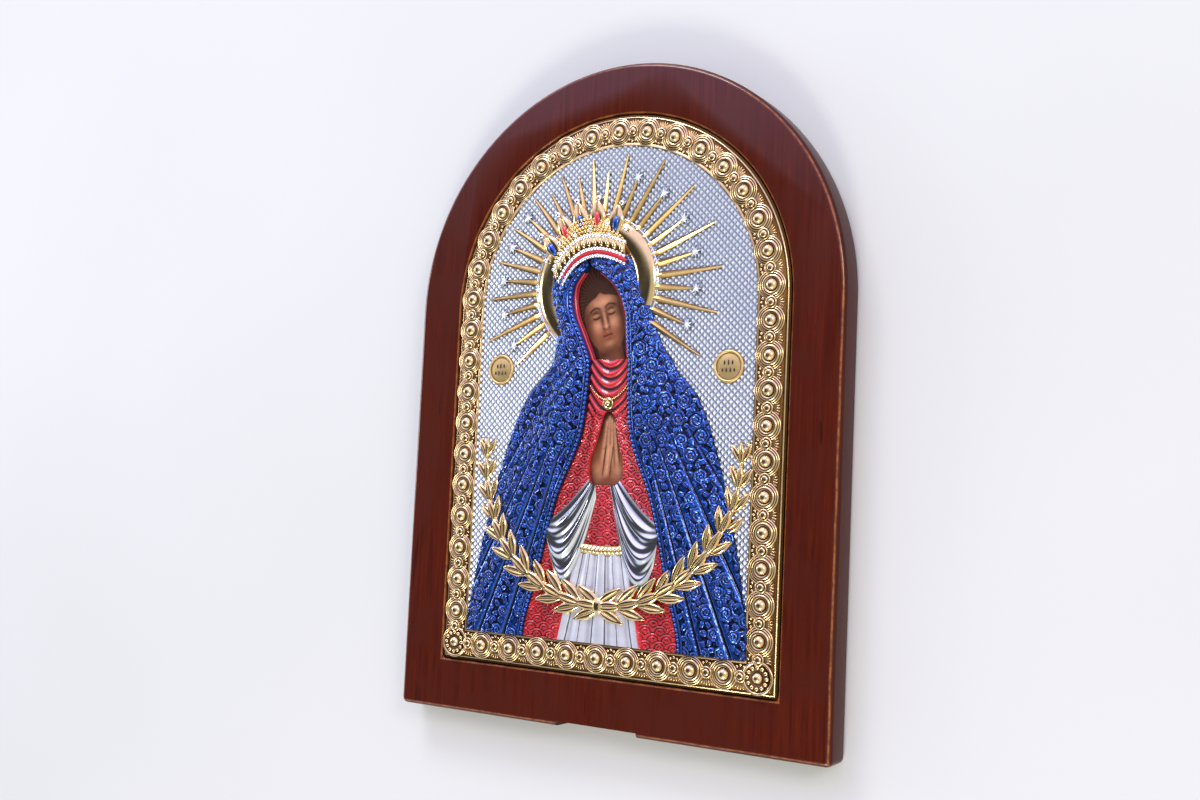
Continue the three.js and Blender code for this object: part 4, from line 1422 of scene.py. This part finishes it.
paint = cover(0.95 * flesh * np.clip((np.abs(u + 0.5) - 4.4) / 4.0, 0, 1), paint, SHADE)
paint = cover(0.6 * flesh * np.clip((-v - 9.5) / 4, 0, 1), paint, SHADE)
paint = cover(0.95 * flesh * spot(u, v, (0.4, 7.0), (4.6, 2.6)), paint, LIGHT)
print("face painted on", len(x), "points")

# %% Face: features
EYE, BROW = 3.7, 3.8
CHEEK = [(0.95, (3.9, -2.4), (2.1, 2.5), LIGHT), (0.30, (4.5, -3.4), (2.2, 2.0), ROSE),
         (0.80, (3.6, 3.2), (2.8, 1.7), SHADE), (0.55, (3.7, 2.3), (2.0, 0.9), LIGHT)]
NOSE_SIDE = [(0.80, (1.4, -0.2), (0.65, 3.7), SHADE), (0.80, (1.2, -3.8), (0.65, 0.42), INK)]
NOSE = [(0.75, (0.1, -0.4), (0.62, 4.2), LIGHT), (0.75, (0.05, -3.2), (0.95, 0.75), LIGHT),
        (0.50, (0.0, -4.6), (1.5, 0.5), SHADE)]
LOWER_LIP = [(0.70, (0.0, -7.75), (1.7, 0.55), ROSE)]
CHIN = [(0.45, (0.0, -8.9), (1.5, 0.5), SHADE), (0.45, (0.0, -10.6), (2.2, 1.3), LIGHT)]
lid = [(-2.1, 1.5), (-1.0, 1.15), (0.0, 0.95), (1.0, 1.1), (2.1, 1.55)]
fold = [(-2.0, 2.9), (-0.8, 3.35), (0.5, 3.35), (2.0, 2.75)]
brow = [(-2.9, 4.5), (-1.2, 5.35), (0.6, 5.3), (2.9, 4.3)]
upper_lip = [(-2.5, -7.0), (-1.0, -6.45), (0.0, -6.65), (1.0, -6.45), (2.5, -7.0)]
mouth = [(-2.6, -6.95), (-1.0, -7.1), (0.0, -7.0), (1.0, -7.1), (2.6, -6.95)]

def dabs(paint, across, rows):
    """Soft ovals of paint from (amount, place, size, colour) rows."""
    for amount, at, size, colour in rows:
        paint = cover(amount * spot(across, v, at, size), paint, colour)
    return paint

for side in (-1, 1):
    paint = dabs(paint, side * u, CHEEK)
    paint = cover(0.95 * line(u - side * EYE, v, lid, 0.46), paint, INK)
    paint = cover(0.55 * line(u - side * EYE, v, fold, 0.36), paint, INK)
    paint = cover(0.85 * line(side * (u - side * BROW), v, brow, 0.50), paint, INK)
    paint = dabs(paint, side * u, NOSE_SIDE)
paint = dabs(paint, u, NOSE)
paint = cover(0.80 * line(u, v, upper_lip, 0.55), paint, ROSE)
paint = dabs(paint, u, LOWER_LIP)
paint = cover(0.80 * line(u, v, mouth, 0.34), paint, INK)
paint = dabs(paint, u, CHIN)
add_paint(face, paint)
print("darkest tone", round(float(paint.min()), 3))

# %% [markdown]
# ## Hands
# The hands are laid palm to palm and point up. Fingers are narrow lights between dark lines that draw
# together towards the tips, with a thumb across them.

# %% Hands
FINGER_LENGTH = 29.0
NAIL = (0.66, 0.38, 0.22)

hands, x, y = paint_grid("hands_paint", (-10, 95), (12, 130), 0.22)
u, v = x - NECK_X, y - 98.0
paint = np.tile(np.array(SHADE), (len(x), 1))
paint = cover(spot(u, v, (0, 8), (9, 12), 2.0), paint, FLESH)
draw_in = 1 - 0.72 * np.clip(v / FINGER_LENGTH, 0, 1)
for k in range(4):
    root, reach = -4.6 + 3.1 * k, FINGER_LENGTH - 1.6 * abs(k - 1.2)
    middle = root * draw_in + 0.3
    inside = np.clip((v - 6) / 5, 0, 1) * np.clip((reach - v) / 1.2, 0, 1)
    paint = cover(0.75 * np.exp(-((u - middle) / 0.95) ** 2) * inside, paint, LIGHT)
    edge = (root + 1.55) * draw_in + 0.3
    paint = cover(0.85 * np.exp(-((u - edge) / 0.34) ** 2) * inside, paint, INK)
    for joint in (0.55, 0.80):
        knuckle = spot(u, v, (0, joint * reach), (40, 0.35)) * np.exp(-((u - middle) / 0.8) ** 2)
        paint = cover(0.35 * knuckle, paint, SHADE)
    paint = cover(0.55 * spot(u - middle, v, (0, reach - 1.6), (0.5, 1.0)), paint, NAIL)
paint = cover(0.55 * spot(u, v, (-4.6, 5.5), (2.6, 3.4)), paint, LIGHT)
paint = cover(0.55 * spot(u, v, (4.4, 5.5), (2.2, 3.0)), paint, LIGHT)
thumb = np.clip((v - 3) / 2, 0, 1) * np.clip((17 - v) / 1.5, 0, 1)
off_thumb = u + 0.4 - 0.10 * (v - 10)
paint = cover(0.8 * np.exp(-(off_thumb / 1.15) ** 2) * thumb, paint, LIGHT)
paint = cover(0.8 * np.exp(-((np.abs(off_thumb) - 1.7) / 0.34) ** 2) * thumb, paint, INK)
add_paint(hands, paint)
print("hands painted on", len(x), "points")

# %% [markdown]
# ## Picture panel
# The panel itself is a thin arch under the cover, painted in the ground colour. The two painted fields
# are given a thin edge and joined to it. A satin varnish with fine crazing goes over all of it.

# %% Picture panel
def painted(w):
    colour = w.attribute("paint", 0)
    weave = w.where().noise(1.6, 4.0, 0.65)
    craze = w.where().noise(0.35, 3.0, 0.7)
    return {"Base Color": (craze.between(0.30, 0.75) * 0.18).mix(colour, INK),
            "Roughness": 0.42 + craze * 0.25, "Normal": weave.bump(0.10, 0.0003)}

picture = thicken(arch_blank("picture", 37.3, FIT), PAINT_TOP - 0.35 - FIT)
add_paint(picture, np.tile(np.array(EARTH), (len(picture.data.vertices), 1)))
varnish = {"Specular IOR Level": 0.18, "Coat Weight": 0.08, "Coat Roughness": 0.2}
painted_finish = material("painted_picture", painted, varnish)
for piece in (face, hands):
    edit(piece)
    bpy.ops.mesh.region_to_loop()
    bpy.ops.mesh.extrude_region_move(TRANSFORM_OT_translate={"value": (0, 0, -0.3)})
    bpy.ops.mesh.edge_face_add()
    outward(done(piece))
picture = lay(joined([picture, face, hands], "picture"))
finish(picture, "painted_panel", painted_finish)
